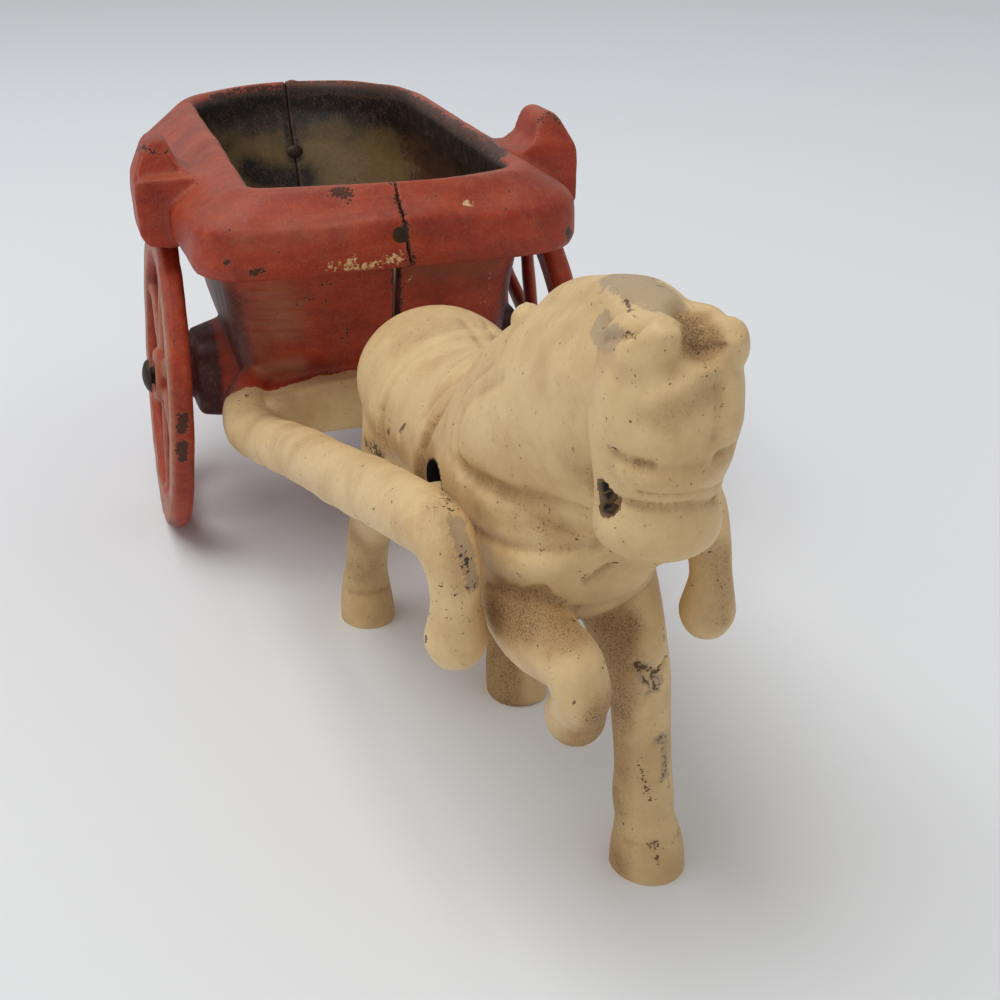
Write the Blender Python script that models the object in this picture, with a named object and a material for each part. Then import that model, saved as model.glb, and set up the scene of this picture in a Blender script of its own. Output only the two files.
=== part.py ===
"""A cast iron toy: a two-wheeled cart whose shafts hold a horse that walks on three hooves.

The cart is two half castings, each with its shaft, riveted along the middle seam.
The horse is two half castings, also riveted, and swings on pegs cast inside the shafts.
Sizes are in millimetres here and are turned into Blender's metres by MM.
X runs forward, Y to the toy's left and Z up. Z = 0 is the floor.
"""
import math

import bmesh
import bpy
from mathutils import Matrix, Vector

MM = 0.001
RIGHT = -1
LEFT = 1

# Wheels and axle
WHEEL_DIAMETER = 50.0
WHEEL_THICKNESS = 3.4
WHEEL_TRACK = 66.0
WHEEL_LEAN = 4.0
RIM_DEPTH = 5.6
HUB_DIAMETER = 9.0
HUB_LENGTH = 4.4
SPOKE_COUNT = 6
SPOKE_WIDTH_HUB = 4.2
SPOKE_WIDTH_RIM = 2.6
SPOKE_THICKNESS = 2.2
AXLE_DIAMETER = 2.8
AXLE_HEAD_DIAMETER = 5.4
AXLE_HEAD_HEIGHT = 1.3

# Clearances
RUNNING_GAP = 0.3
WHEEL_PLAY = 0.55
SEAM_GAP = 0.3
SIDE_GAP = 0.6

# Cart body, measured from the axle's centre
OPENING_FRONT = 28.2
OPENING_BACK = -44.0
OPENING_WIDTH = 37.4
RIM_RISE = 36.4
LIP_RISE = 22.8
BODY_RISE = 0.5
BODY_WIDTH = 45.0
BODY_FRONT = 19.5
BODY_BACK = -38.0
WALL = 3.0
AXLE_TUBE_DIAMETER = 6.8
BRACKET_SQUARENESS = 0.6
RIM_BAND_SIDE = 11.0
RIM_BAND_BACK = 5.4
LIP_REACH = 6.8
LIP_FLARE = -1.6
FRONT_BOW = 3.5
BACK_BOW = 12.5
BACK_RADIUS_RIGHT = 2.5
BACK_RADIUS_LEFT = 8.0
FRONT_RADIUS = 2.0
LIP_CORNER_LIFT = 0.8
LIP_CROWN_LIFT = 1.3
FLARE_START = 8.0
BODY_LEAN = 4.0
WALL_TOP_DROP = 13.0

# Arms over the wheels
ARM_FRONT = 15.5
ARM_LENGTH = 11.5
ARM_OVERHANG = 1.0
ARM_PEAK_RISE = 39.8
ARM_WHEEL_GAP = 1.0
ARM_DIP = 1.6
ARM_KNOB_SET_BACK = 0.7

# Shafts and crossbar
CROSSBAR_DEPTH = 7.5
CROSSBAR_HEIGHT = 8.6
CROSSBAR_DROP = 4.0
SHAFT_ROOT_DIAMETER = 7.8
SHAFT_DIAMETER = 7.2
SHAFT_TIP_DIAMETER = 6.0
SHAFT_BALL_DIAMETER = 7.0
SHAFT_ROOT_Y = 22.6
SHAFT_CREST = 2.2
SHAFT_DROOP = 9.8
SHAFT_NOSE = 18.5
SHAFT_TOE_IN = 2.0
LEFT_TIP_DROP = 1.4

# Horse, measured from its pegs and the floor
PEG_FORWARD = 97.0
PEG_HEIGHT = 41.5
PEG_DIAMETER = 2.8
PEG_REACH = 2.6
BARREL_WIDTH = 22.0
HORSE_WALL = 2.2
FLANK_RIVET = (-16.0, 0.0, 10.0)
CHEST_RIVET = (8.0, -5.0, 8.4)

# Rivets
RIVET_DIAMETER = 2.6
RIVET_HEAD_DIAMETER = 3.8
RIVET_HEAD_HEIGHT = 0.9
RIVET_SEAT = 0.6
FRONT_RIVET_RISE = 29.5
FRONT_RIVET_LENGTH = 7.0

# Mesh fineness
RING_SIDES = 16
WHEEL_SEGMENTS = 40
HORSE_VOXEL = 0.75
HORSE_DECIMATE = 0.074
CORE_VOXEL = 1.5
CORE_DECIMATE = 0.12

# Places worked out from the sizes above
AXLE_HEIGHT = WHEEL_DIAMETER / 2
AXLE_X = -39.01
WHEEL_OUTER = WHEEL_TRACK / 2
WHEEL_INNER = WHEEL_OUTER - WHEEL_THICKNESS
HUB_INNER = WHEEL_INNER - (HUB_LENGTH - WHEEL_THICKNESS) / 2
HUB_OUTER = HUB_INNER + HUB_LENGTH
LEAN_GAP = HUB_DIAMETER / 2 * math.sin(math.radians(WHEEL_LEAN))
BOSS_END = HUB_INNER - RUNNING_GAP - LEAN_GAP
AXLE_END = HUB_OUTER + RUNNING_GAP + LEAN_GAP
SEAM_Y = SEAM_GAP / 2
RIM_Z = AXLE_HEIGHT + RIM_RISE
LIP_Z = AXLE_HEIGHT + LIP_RISE
BODY_Z = AXLE_HEIGHT + BODY_RISE
FLOOR_Z = BODY_Z + WALL
CROSSBAR_Z = AXLE_HEIGHT - CROSSBAR_DROP
SHAFT_PEG_Y = BARREL_WIDTH / 2 + SIDE_GAP + SHAFT_DIAMETER / 2


def clear_scene():
    """Remove every object, so that a second run starts clean."""
    for item in list(bpy.data.objects):
        bpy.data.objects.remove(item, do_unlink=True)


def place(x, y, z):
    """A point measured from the axle (x) and the floor (z), in metres in the part's frame."""
    return Vector(((AXLE_X + x) * MM, y * MM, z * MM))


def material(name, colour, roughness, metallic=0.0):
    """A plain Principled material."""
    found = bpy.data.materials.get(name)
    if found:
        return found
    made = bpy.data.materials.new(name)
    made.use_nodes = True
    shader = made.node_tree.nodes["Principled BSDF"]
    shader.inputs["Base Color"].default_value = (*colour, 1.0)
    shader.inputs["Roughness"].default_value = roughness
    shader.inputs["Metallic"].default_value = metallic
    return made


def red_paint():
    return material("red_paint", (0.36, 0.045, 0.025), 0.45)


def cream_paint():
    return material("cream_paint", (0.60, 0.44, 0.23), 0.5)


def bare_iron():
    return material("bare_iron", (0.09, 0.08, 0.07), 0.6, 0.7)


def finish_object(name, bm, mat, angle=40.0, origin=None):
    """Turn a bmesh into a smooth-shaded object, with its origin at a given place."""
    bmesh.ops.recalc_face_normals(bm, faces=bm.faces)
    centre = origin or Vector()
    bmesh.ops.translate(bm, vec=-centre, verts=bm.verts)
    mesh = bpy.data.meshes.new(name)
    bm.to_mesh(mesh)
    bm.free()
    mesh.shade_smooth()
    mesh.set_sharp_from_angle(angle=math.radians(angle))
    item = bpy.data.objects.new(name, mesh)
    item.location = centre
    bpy.context.scene.collection.objects.link(item)
    if mat:
        mesh.materials.append(mat)
    return item


def guide(name, bm):
    """A cutter or a shape to be joined, left out of the model itself."""
    item = finish_object(name, bm, None)
    item.hide_render = True
    item.display_type = "WIRE"
    return item


def boolean(item, tool, operation):
    step = item.modifiers.new(tool.name, "BOOLEAN")
    step.operation = operation
    step.object = tool
    step.solver = "EXACT"


def bridge(bm, rings):
    """Join rings of equal count into one closed skin with flat ends."""
    loops = [[bm.verts.new(point) for point in ring] for ring in rings]
    count = len(loops[0])
    for low, high in zip(loops, loops[1:]):
        for i in range(count):
            j = (i + 1) % count
            bm.faces.new((low[i], low[j], high[j], high[i]))
    bm.faces.new(loops[0])
    bm.faces.new(reversed(loops[-1]))


def spline(stations, steps):
    """Points on a smooth curve through the stations, for every number in a station."""
    out = []
    last = len(stations) - 1
    for i in range(last):
        before = stations[max(i - 1, 0)]
        start = stations[i]
        end = stations[i + 1]
        after = stations[min(i + 2, last)]
        for step in range(steps):
            t = step / steps
            row = []
            for a, b, c, d in zip(before, start, end, after):
                bend = (2 * b) + (c - a) * t + (2 * a - 5 * b + 4 * c - d) * t * t
                row.append((bend + (3 * b - a - 3 * c + d) * t ** 3) / 2)
            out.append(row)
    out.append(list(stations[last]))
    return out


def sweep(bm, stations, sides=RING_SIDES, steps=3):
    """A rounded limb through stations of x, y, z, half width across and half depth."""
    rows = spline(stations, steps)
    rings = []
    for i, (x, y, z, across, depth) in enumerate(rows):
        ahead = Vector(rows[min(i + 1, len(rows) - 1)][:3])
        behind = Vector(rows[max(i - 1, 0)][:3])
        along = (ahead - behind).normalized()
        lateral = Vector((0, 1, 0))
        lateral = (lateral - along * lateral.dot(along)).normalized()
        normal = along.cross(lateral)
        ring = []
        for k in range(sides):
            turn = math.tau * k / sides
            point = Vector((x, y, z))
            point += lateral * (across * math.cos(turn)) + normal * (depth * math.sin(turn))
            ring.append(place(*point))
        rings.append(ring)
    bridge(bm, rings)


def cylinder(bm, start, end, radius, sides=16, end_radius=None):
    """A round bar between two points given from the axle and the floor."""
    first = place(*start)
    last = place(*end)
    along = (last - first).normalized()
    lateral = along.orthogonal().normalized()
    normal = along.cross(lateral)
    rings = []
    for centre, size in ((first, radius), (last, end_radius or radius)):
        ring = []
        for k in range(sides):
            turn = math.tau * k / sides
            ring.append(centre + (lateral * math.cos(turn) + normal * math.sin(turn)) * size * MM)
        rings.append(ring)
    bridge(bm, rings)


def turned(bm, start, end, profile, sides=16):
    """A turned piece on the line from start to end, through (distance, radius) pairs."""
    first = place(*start)
    along = (place(*end) - first).normalized()
    lateral = along.orthogonal().normalized()
    normal = along.cross(lateral)
    rings = []
    for distance, radius in profile:
        ring = []
        for k in range(sides):
            turn = math.tau * k / sides
            spoke = lateral * math.cos(turn) + normal * math.sin(turn)
            ring.append(first + along * distance * MM + spoke * radius * MM)
        rings.append(ring)
    bridge(bm, rings)


def box(bm, low, high):
    """A plain block between two corners given from the axle and the floor."""
    corners = [(low[0], low[1]), (high[0], low[1]), (high[0], high[1]), (low[0], high[1])]
    bridge(bm, [[place(x, y, z) for x, y in corners] for z in (low[2], high[2])])


def prism(bm, outline, front, back, bevel):
    """An outline of (y, z) points drawn out along X, with its edges rounded over."""
    bridge(bm, [[place(x, y, z) for y, z in outline] for x in (back, front)])
    bmesh.ops.recalc_face_normals(bm, faces=bm.faces)
    bmesh.ops.bevel(bm, geom=bm.edges[:], offset=bevel * MM, segments=2, profile=0.6,
                    affect="EDGES", clamp_overlap=True)


def smoothstep(low, high, value):
    """0 at low, 1 at high, easing between them; high may lie below low."""
    t = min(max((value - low) / (high - low), 0.0), 1.0)
    return t * t * (3 - 2 * t)


def rounded(value, power):
    """A sine or cosine raised to a power, keeping its sign; below 1 squares a circle off."""
    return math.copysign(abs(value) ** power, value)


def half_outline(back, front, half, front_radius, back_radius):
    """Half a rounded plan outline, from the middle of the front to the middle of the back."""
    points = []
    for k in range(5):
        points.append((front, (half - front_radius) * k / 5))
    for k in range(5):
        turn = math.pi / 2 * k / 4
        across = half - front_radius + front_radius * math.sin(turn)
        points.append((front - front_radius + front_radius * math.cos(turn), across))
    side_start = front - front_radius
    side_end = back + back_radius
    for k in range(1, 9):
        points.append((side_start + (side_end - side_start) * k / 9, half))
    for k in range(7):
        turn = math.pi / 2 * k / 6
        across = half - back_radius + back_radius * math.cos(turn)
        points.append((back + back_radius - back_radius * math.sin(turn), across))
    for k in range(1, 5):
        points.append((back, (half - back_radius) * (1 - k / 5)))
    points.append((back, 0.0))
    return points


def plan_ring(side_z, front_z, back, front, half, flare=0.0, extra_radius=0.0):
    """One level of the cart: a bowed plan outline whose front edge can dip and flare."""
    halves = []
    for radius in (BACK_RADIUS_RIGHT, BACK_RADIUS_LEFT):
        outline = half_outline(back, front, half, FRONT_RADIUS + extra_radius * 0.5,
                               radius + extra_radius)
        halves.append(outline)
    right = [(x, -y) for x, y in halves[0]]
    left = [(x, y) for x, y in reversed(halves[1][1:-1])]
    ring = []
    for x, y in right + left:
        ahead = smoothstep(FLARE_START, front - FRONT_RADIUS, x)
        y *= 1 + flare / half * ahead
        crown = 1 - (y / (half + flare)) ** 2
        bow = FRONT_BOW * smoothstep(0, front, x) - BACK_BOW * smoothstep(0, back, x)
        level = side_z + (front_z - side_z) * ahead
        if flare:
            level += ahead * (LIP_CROWN_LIFT * crown + LIP_CORNER_LIFT * (1 - crown) ** 2)
        ring.append(place(x + bow * crown, y, level))
    return ring


def cart_tub(name, mat):
    """The open tub: outer wall, rolled lip and rim, inner wall and floor in one skin."""
    half = BODY_WIDTH / 2
    mouth = OPENING_WIDTH / 2
    rim_half = mouth + RIM_BAND_SIDE
    rim_back = OPENING_BACK - RIM_BAND_BACK
    lip_front = OPENING_FRONT + LIP_REACH
    thick = WALL
    lean = BODY_LEAN
    top = RIM_Z - WALL_TOP_DROP
    rings = [
        plan_ring(BODY_Z, BODY_Z, BODY_BACK + 17, BODY_FRONT - 5, half - 5, extra_radius=3),
        plan_ring(BODY_Z + 1.2, BODY_Z + 1.2, BODY_BACK + 12, BODY_FRONT - 3, half - 2.4,
                  extra_radius=4),
        plan_ring(BODY_Z + 7, BODY_Z + 7, BODY_BACK + 4, BODY_FRONT - 1.6, half - 0.9,
                  extra_radius=4),
        plan_ring(BODY_Z + 15, BODY_Z + 15, BODY_BACK, BODY_FRONT, half, extra_radius=4),
        plan_ring(top, LIP_Z - 0.3, BODY_BACK - lean, BODY_FRONT + 2.4, half + 0.8,
                  extra_radius=4),
        plan_ring(RIM_Z - 10.8, LIP_Z + 0.1, rim_back + 2.4, lip_front - 7, half + 2.6,
                  flare=LIP_FLARE * 0.5, extra_radius=5),
        plan_ring(RIM_Z - 10.4, LIP_Z, rim_back + 0.9, lip_front - 1.6, rim_half - 1.5,
                  flare=LIP_FLARE, extra_radius=6),
        plan_ring(RIM_Z - 9.0, LIP_Z + 1.6, rim_back, lip_front, rim_half,
                  flare=LIP_FLARE, extra_radius=6.5),
        plan_ring(RIM_Z - 6.6, LIP_Z + 6.0, rim_back, lip_front, rim_half,
                  flare=LIP_FLARE, extra_radius=6.5),
        plan_ring(RIM_Z - 5.4, LIP_Z + 8.0, rim_back + 0.7, lip_front - 0.9, rim_half - 0.9,
                  flare=LIP_FLARE * 0.8, extra_radius=6),
        plan_ring(RIM_Z - 0.5, RIM_Z - 1.5, OPENING_BACK - 3.0, OPENING_FRONT + 2.6,
                  mouth + 3.0, flare=LIP_FLARE * 0.1, extra_radius=2.5),
        plan_ring(RIM_Z, RIM_Z - 0.9, OPENING_BACK - 1.7, OPENING_FRONT + 1.4, mouth + 1.7,
                  extra_radius=1.5),
        plan_ring(RIM_Z - 1.7, RIM_Z - 1.7, OPENING_BACK, OPENING_FRONT, mouth),
        plan_ring(RIM_Z - 5.5, RIM_Z - 5.5, OPENING_BACK + 0.7, OPENING_FRONT - 1.8, mouth),
        plan_ring(top, top, BODY_BACK - lean + thick, BODY_FRONT + 2.4 - thick,
                  half + 0.8 - thick, extra_radius=1),
        plan_ring(BODY_Z + 15, BODY_Z + 15, BODY_BACK + thick, BODY_FRONT - thick,
                  half - thick, extra_radius=1),
        plan_ring(BODY_Z + 7, BODY_Z + 7, BODY_BACK + 4 + thick, BODY_FRONT - 1.6 - thick,
                  half - 0.9 - thick, extra_radius=1),
        plan_ring(FLOOR_Z + 0.8, FLOOR_Z + 0.8, BODY_BACK + 12 + thick,
                  BODY_FRONT - 3 - thick, half - 2.4 - thick, extra_radius=1),
        plan_ring(FLOOR_Z, FLOOR_Z, BODY_BACK + 14 + thick, BODY_FRONT - 4 - thick,
                  half - 3.6 - thick, extra_radius=1),
    ]
    bm = bmesh.new()
    bridge(bm, rings)
    return finish_object(name, bm, mat, angle=50)


def arm(side):
    """The arm that reaches out over a wheel and ends in a peaked knob."""
    outer = WHEEL_OUTER + ARM_OVERHANG
    foot = WHEEL_DIAMETER + ARM_WHEEL_GAP
    peak = AXLE_HEIGHT + ARM_PEAK_RISE
    inner = OPENING_WIDTH / 2 + RIM_BAND_SIDE - 6.4
    shoulder = RIM_Z - 1.0
    outline = [
        (inner, foot + 0.6), (outer - 4.5, foot), (outer - 1.3, foot + 0.4),
        (outer - 0.2, foot + 2.0), (outer, shoulder - 2.0), (outer - 0.6, shoulder),
        (outer - 2.2, peak - 1.0), (outer - 3.2, peak), (outer - 5.0, peak),
        (outer - 5.9, peak - 1.0), (outer - 7.0, shoulder + 0.6), (outer - 8.6, shoulder - 0.4),
        (inner, shoulder - 0.6),
    ]
    bm = bmesh.new()
    prism(bm, [(side * y, z) for y, z in outline], ARM_FRONT, ARM_FRONT - ARM_LENGTH, 0.7)
    middle = place(ARM_FRONT - ARM_LENGTH / 2, 0, 0).x
    for vert in bm.verts:
        if vert.co.x > middle:
            vert.co.x -= max(vert.co.z - shoulder * MM, 0) * ARM_KNOB_SET_BACK
        if vert.co.z < (foot + 2.6) * MM and vert.co.x > middle:
            vert.co.z -= ARM_DIP * MM
    return guide("arm_shape_" + side_name(side), bm)


def axle_boss(side):
    """The bracket on the side wall, tall at the wall and round at the wheel."""
    wall = BODY_WIDTH / 2 - WALL * 0.6
    end_radius = AXLE_DIAMETER / 2 + RUNNING_GAP + 2.4
    face = BOSS_END - 1.2
    rows = [
        (wall, 8.5, 9.5, 3.6), (wall + 3.0, 7.6, 8.6, 2.0), (face - 0.8, 6.4, 7.6, 0.8),
        (face, 5.4, 6.6, 0.6), (face + 0.1, end_radius, end_radius, 0.0),
        (BOSS_END, end_radius, end_radius, 0.0),
    ]
    rings = []
    for y, half_x, half_z, rise in rows:
        squareness = BRACKET_SQUARENESS if half_x > end_radius else 1.0
        ring = []
        for k in range(20):
            turn = math.tau * k / 20
            x = half_x * rounded(math.cos(turn), squareness)
            z = AXLE_HEIGHT + rise + half_z * rounded(math.sin(turn), squareness)
            ring.append(place(x, side * y, z))
        rings.append(ring)
    bm = bmesh.new()
    bridge(bm, rings)
    return guide("boss_shape_" + side_name(side), bm)


def axle_tube(side):
    """Half of the tube under the floor that the axle runs through."""
    bm = bmesh.new()
    cylinder(bm, (0, -side, AXLE_HEIGHT), (0, side * (BODY_WIDTH / 2), AXLE_HEIGHT),
             AXLE_TUBE_DIAMETER / 2, sides=20)
    return guide("axle_tube_shape_" + side_name(side), bm)


def crossbar(side):
    """Half of the bar under the front wall, thicker in the middle."""
    front = BODY_FRONT - 1 + CROSSBAR_DEPTH
    back = BODY_FRONT - 4
    rows = [(-1.0, 0.0), (10.0, 0.4), (SHAFT_ROOT_Y - 3.0, 2.0)]
    rings = []
    for y, drop in rows:
        top = CROSSBAR_Z + CROSSBAR_HEIGHT - drop
        outline = [
            (back, CROSSBAR_Z), (front - 1.5, CROSSBAR_Z), (front, CROSSBAR_Z + 1.5),
            (front, top - 1.5), (front - 1.5, top), (back, top),
        ]
        rings.append([place(x, side * y, z) for x, z in outline])
    bm = bmesh.new()
    bridge(bm, rings)
    return guide("crossbar_shape_" + side_name(side), bm)


def shaft_stations():
    """The right-hand shaft from the cart's corner to its drooping ball end."""
    root = BODY_FRONT - 1.5
    low = AXLE_HEIGHT
    run = PEG_FORWARD - root
    spread = SHAFT_ROOT_Y - SHAFT_PEG_Y
    thick = SHAFT_DIAMETER / 2
    thin = SHAFT_TIP_DIAMETER / 2
    ball = SHAFT_BALL_DIAMETER / 2
    base = SHAFT_ROOT_DIAMETER / 2
    nose = PEG_FORWARD + SHAFT_NOSE
    crest = PEG_HEIGHT + SHAFT_CREST
    tip_y = SHAFT_PEG_Y - SHAFT_TOE_IN
    return [
        (root - 2.5, SHAFT_ROOT_Y - 3.0, low + 3.0, base - 0.8, base - 0.8),
        (root + 1.5, SHAFT_ROOT_Y - 0.8, low + 0.9, base, base),
        (root + 6.5, SHAFT_ROOT_Y, low - 1.3, base + 0.2, base + 0.2),
        (root + 14.0, SHAFT_ROOT_Y - 1.0, low - 0.6, base, base),
        (root + run * 0.32, SHAFT_ROOT_Y - spread * 0.30, low + 2.6, thick, thick),
        (root + run * 0.55, SHAFT_ROOT_Y - spread * 0.55, low + 7.4, thick, thick),
        (root + run * 0.78, SHAFT_ROOT_Y - spread * 0.79, low + 11.8, thick, thick),
        (PEG_FORWARD, SHAFT_PEG_Y, PEG_HEIGHT, thick, thick),
        (nose - 6.0, tip_y + 0.5, crest, thick - 0.1, thick - 0.1),
        (nose - 1.4, tip_y, crest - 1.6, thick - 0.5, thick - 0.5),
        (nose, tip_y, crest - 5.0, thin, thin),
        (nose - 0.6, tip_y, crest - 7.8, ball - 0.3, ball - 0.3),
        (nose - 0.9, tip_y, crest - SHAFT_DROOP, ball - 0.1, ball),
        (nose - 1.0, tip_y, crest - SHAFT_DROOP - 2.0, ball * 0.72, ball * 0.72),
        (nose - 1.0, tip_y, crest - SHAFT_DROOP - 2.9, ball * 0.3, ball * 0.3),
    ]


def shaft(side):
    low = LEFT_TIP_DROP if side == LEFT else 0.0
    rows = []
    for x, y, z, across, depth in shaft_stations():
        drop = low * smoothstep(PEG_FORWARD, PEG_FORWARD + SHAFT_NOSE, x)
        rows.append((x, side * y, z - drop, across, depth))
    bm = bmesh.new()
    sweep(bm, rows, sides=10, steps=2)
    return guide("shaft_shape_" + side_name(side), bm)


def peg(side):
    """The peg inside the shaft that the horse swings on."""
    start = SHAFT_PEG_Y
    end = BARREL_WIDTH / 2 - PEG_REACH
    bm = bmesh.new()
    cylinder(bm, (PEG_FORWARD, side * start, PEG_HEIGHT), (PEG_FORWARD, side * end, PEG_HEIGHT),
             PEG_DIAMETER / 2, sides=14)
    return guide("peg_shape_" + side_name(side), bm)


def side_name(side):
    return "right" if side == RIGHT else "left"


def other_side(side, name):
    """A block over everything past the seam, which leaves one half casting."""
    bm = bmesh.new()
    near = side * SEAM_Y
    far = -side * WHEEL_TRACK
    low = min(near, far)
    high = max(near, far)
    box(bm, (-120, low, -20), (220, high, 140))
    return guide(name, bm)


def front_rivet_line():
    """The front tie rivet: its head's seat in the lip, the end of its shank, its height."""
    seat = OPENING_FRONT + LIP_REACH + FRONT_BOW - RIVET_SEAT
    return seat, seat - FRONT_RIVET_LENGTH, AXLE_HEIGHT + FRONT_RIVET_RISE


def rear_rivet_line():
    """The rear tie rivet: its seats outside and inside the back wall, and its height."""
    outside = BODY_BACK - BODY_LEAN - BACK_BOW
    return outside + RIVET_SEAT, outside + WALL - RIVET_SEAT, RIM_Z - WALL_TOP_DROP


def rivet_holes(name, lines, radius):
    bm = bmesh.new()
    for start, end in lines:
        cylinder(bm, start, end, radius, sides=14)
    return guide(name, bm)


def rivet_seats(item, tag, shanks, heads):
    """Cut the holes of some rivets and the pockets that their heads sit in."""
    hole = RIVET_DIAMETER / 2 + RUNNING_GAP
    pocket = RIVET_HEAD_DIAMETER / 2 + RUNNING_GAP
    boolean(item, rivet_holes("rivet_holes_" + tag, shanks, hole), "DIFFERENCE")
    boolean(item, rivet_holes("rivet_pockets_" + tag, heads, pocket), "DIFFERENCE")


def cart_half(side):
    """One half casting: half the tub with its arm, axle boss, half crossbar, shaft and peg."""
    item = cart_tub("cart_" + side_name(side) + "_half", red_paint())
    for shape in (arm(side), axle_boss(side), axle_tube(side), crossbar(side), shaft(side),
                  peg(side)):
        boolean(item, shape, "UNION")
    boolean(item, other_side(side, "cart_seam_" + side_name(side)), "DIFFERENCE")
    bm = bmesh.new()
    reach = side * WHEEL_OUTER
    cylinder(bm, (0, -reach, AXLE_HEIGHT), (0, reach, AXLE_HEIGHT),
             AXLE_DIAMETER / 2 + RUNNING_GAP, sides=20)
    boolean(item, guide("axle_hole_" + side_name(side), bm), "DIFFERENCE")
    seat, tail, z = front_rivet_line()
    outside, inside, back_z = rear_rivet_line()
    gap = RUNNING_GAP
    shanks = [((seat + 6, 0, z), (tail - gap, 0, z)),
              ((outside - 9, 0, back_z), (inside + 6, 0, back_z))]
    heads = [((seat - gap, 0, z), (seat + 9, 0, z)),
             ((outside + gap, 0, back_z), (outside - 9, 0, back_z)),
             ((inside - gap, 0, back_z), (inside + 9, 0, back_z))]
    rivet_seats(item, "cart_" + side_name(side), shanks, heads)
    return item


def rivet(name, start, end, mat, origin=None, tail_head=True):
    """A rivet from start to end, with a domed head past its start and, if asked, its end."""
    length = (Vector(end) - Vector(start)).length
    shank = RIVET_DIAMETER / 2
    head = RIVET_HEAD_DIAMETER / 2
    tall = RIVET_HEAD_HEIGHT
    profile = [(-tall, head * 0.45), (-tall * 0.6, head * 0.88), (0.0, head), (0.0001, shank),
               (length, shank)]
    if tail_head:
        profile += [(length + 0.0001, head), (length + tall * 0.6, head * 0.88),
                    (length + tall, head * 0.45)]
    bm = bmesh.new()
    turned(bm, start, end, profile, sides=12)
    return finish_object(name, bm, mat, origin=origin)


def axle():
    """The axle, with a head peened over outside each hub."""
    end = AXLE_END
    radius = AXLE_DIAMETER / 2
    head = AXLE_HEAD_DIAMETER / 2
    tall = AXLE_HEAD_HEIGHT
    bm = bmesh.new()
    turned(bm, (0, -end, AXLE_HEIGHT), (0, end, AXLE_HEIGHT), [
        (-tall, head * 0.5), (-tall * 0.6, head * 0.9), (0.0, head), (0.0001, radius),
        (2 * end, radius), (2 * end + 0.0001, head), (2 * end + tall * 0.6, head * 0.9),
        (2 * end + tall, head * 0.5),
    ], sides=16)
    return finish_object("axle", bm, bare_iron())


def ring_section(bm, y, profile, segments):
    """A ring about the axle, closed through (radius, distance out) pairs."""
    loops = []
    for k in range(segments):
        turn = math.tau * k / segments - math.pi / 2
        loop = []
        for radius, out in profile:
            point = place(radius * math.cos(turn), y + out, AXLE_HEIGHT + radius * math.sin(turn))
            loop.append(bm.verts.new(point))
        loops.append(loop)
    count = len(profile)
    for k in range(segments):
        near = loops[k]
        far = loops[(k + 1) % segments]
        for i in range(count):
            j = (i + 1) % count
            bm.faces.new((near[i], near[j], far[j], far[i]))


def wheel(side):
    """A cast wheel: a flat rim, a bored hub and tapered spokes."""
    outer = WHEEL_DIAMETER / 2
    inner = outer - RIM_DEPTH
    t = WHEEL_THICKNESS
    middle = side * (WHEEL_INNER + t / 2)
    centre = place(0, middle, AXLE_HEIGHT)
    lean = Matrix.Rotation(side * math.radians(WHEEL_LEAN), 3, "X")
    bm = bmesh.new()
    rim = [(outer, -t * 0.3), (outer - 0.6, -t / 2), (inner + 0.5, -t / 2), (inner, 0.0),
           (inner + 0.5, t / 2), (outer - 0.6, t / 2), (outer, t * 0.3)]
    ring_section(bm, middle, rim, WHEEL_SEGMENTS)
    bmesh.ops.rotate(bm, cent=centre, matrix=lean, verts=bm.verts)
    item = finish_object("wheel_" + side_name(side), bm, red_paint(), origin=centre)
    hub_radius = HUB_DIAMETER / 2
    bore = AXLE_DIAMETER / 2 + WHEEL_PLAY
    half = HUB_LENGTH / 2
    bm = bmesh.new()
    hub = [(hub_radius, -half + 0.7), (hub_radius - 0.8, -half), (bore, -half), (bore, half),
           (hub_radius - 0.8, half), (hub_radius, half - 0.7)]
    ring_section(bm, middle, hub, 18)
    bmesh.ops.rotate(bm, cent=centre, matrix=lean, verts=bm.verts)
    hub_shape = guide("hub_shape_" + side_name(side), bm)
    bm = bmesh.new()
    for k in range(SPOKE_COUNT):
        turn = math.tau * (k + 0.5) / SPOKE_COUNT
        radial = Vector((math.cos(turn), 0, math.sin(turn)))
        tangent = Vector((-math.sin(turn), 0, math.cos(turn)))
        rings = []
        for radius, width in ((bore + 1.0, SPOKE_WIDTH_HUB), (inner + 1.2, SPOKE_WIDTH_RIM)):
            ring = []
            for m in range(8):
                angle = math.tau * (m + 0.5) / 8
                point = radial * radius + tangent * (width / 2 * math.cos(angle) * 1.08)
                depth = SPOKE_THICKNESS / 2 * math.sin(angle) * 1.08
                ring.append(place(point.x, middle + depth, AXLE_HEIGHT + point.z))
            rings.append(ring)
        bridge(bm, rings)
    bmesh.ops.rotate(bm, cent=centre, matrix=lean, verts=bm.verts)
    spokes = guide("spoke_shapes_" + side_name(side), bm)
    boolean(item, spokes, "UNION")
    boolean(item, hub_shape, "UNION")
    return item


def wide():
    """How much wider the barrel is than the stations below, which are drawn for 22 mm."""
    return BARREL_WIDTH / 22.0


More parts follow.
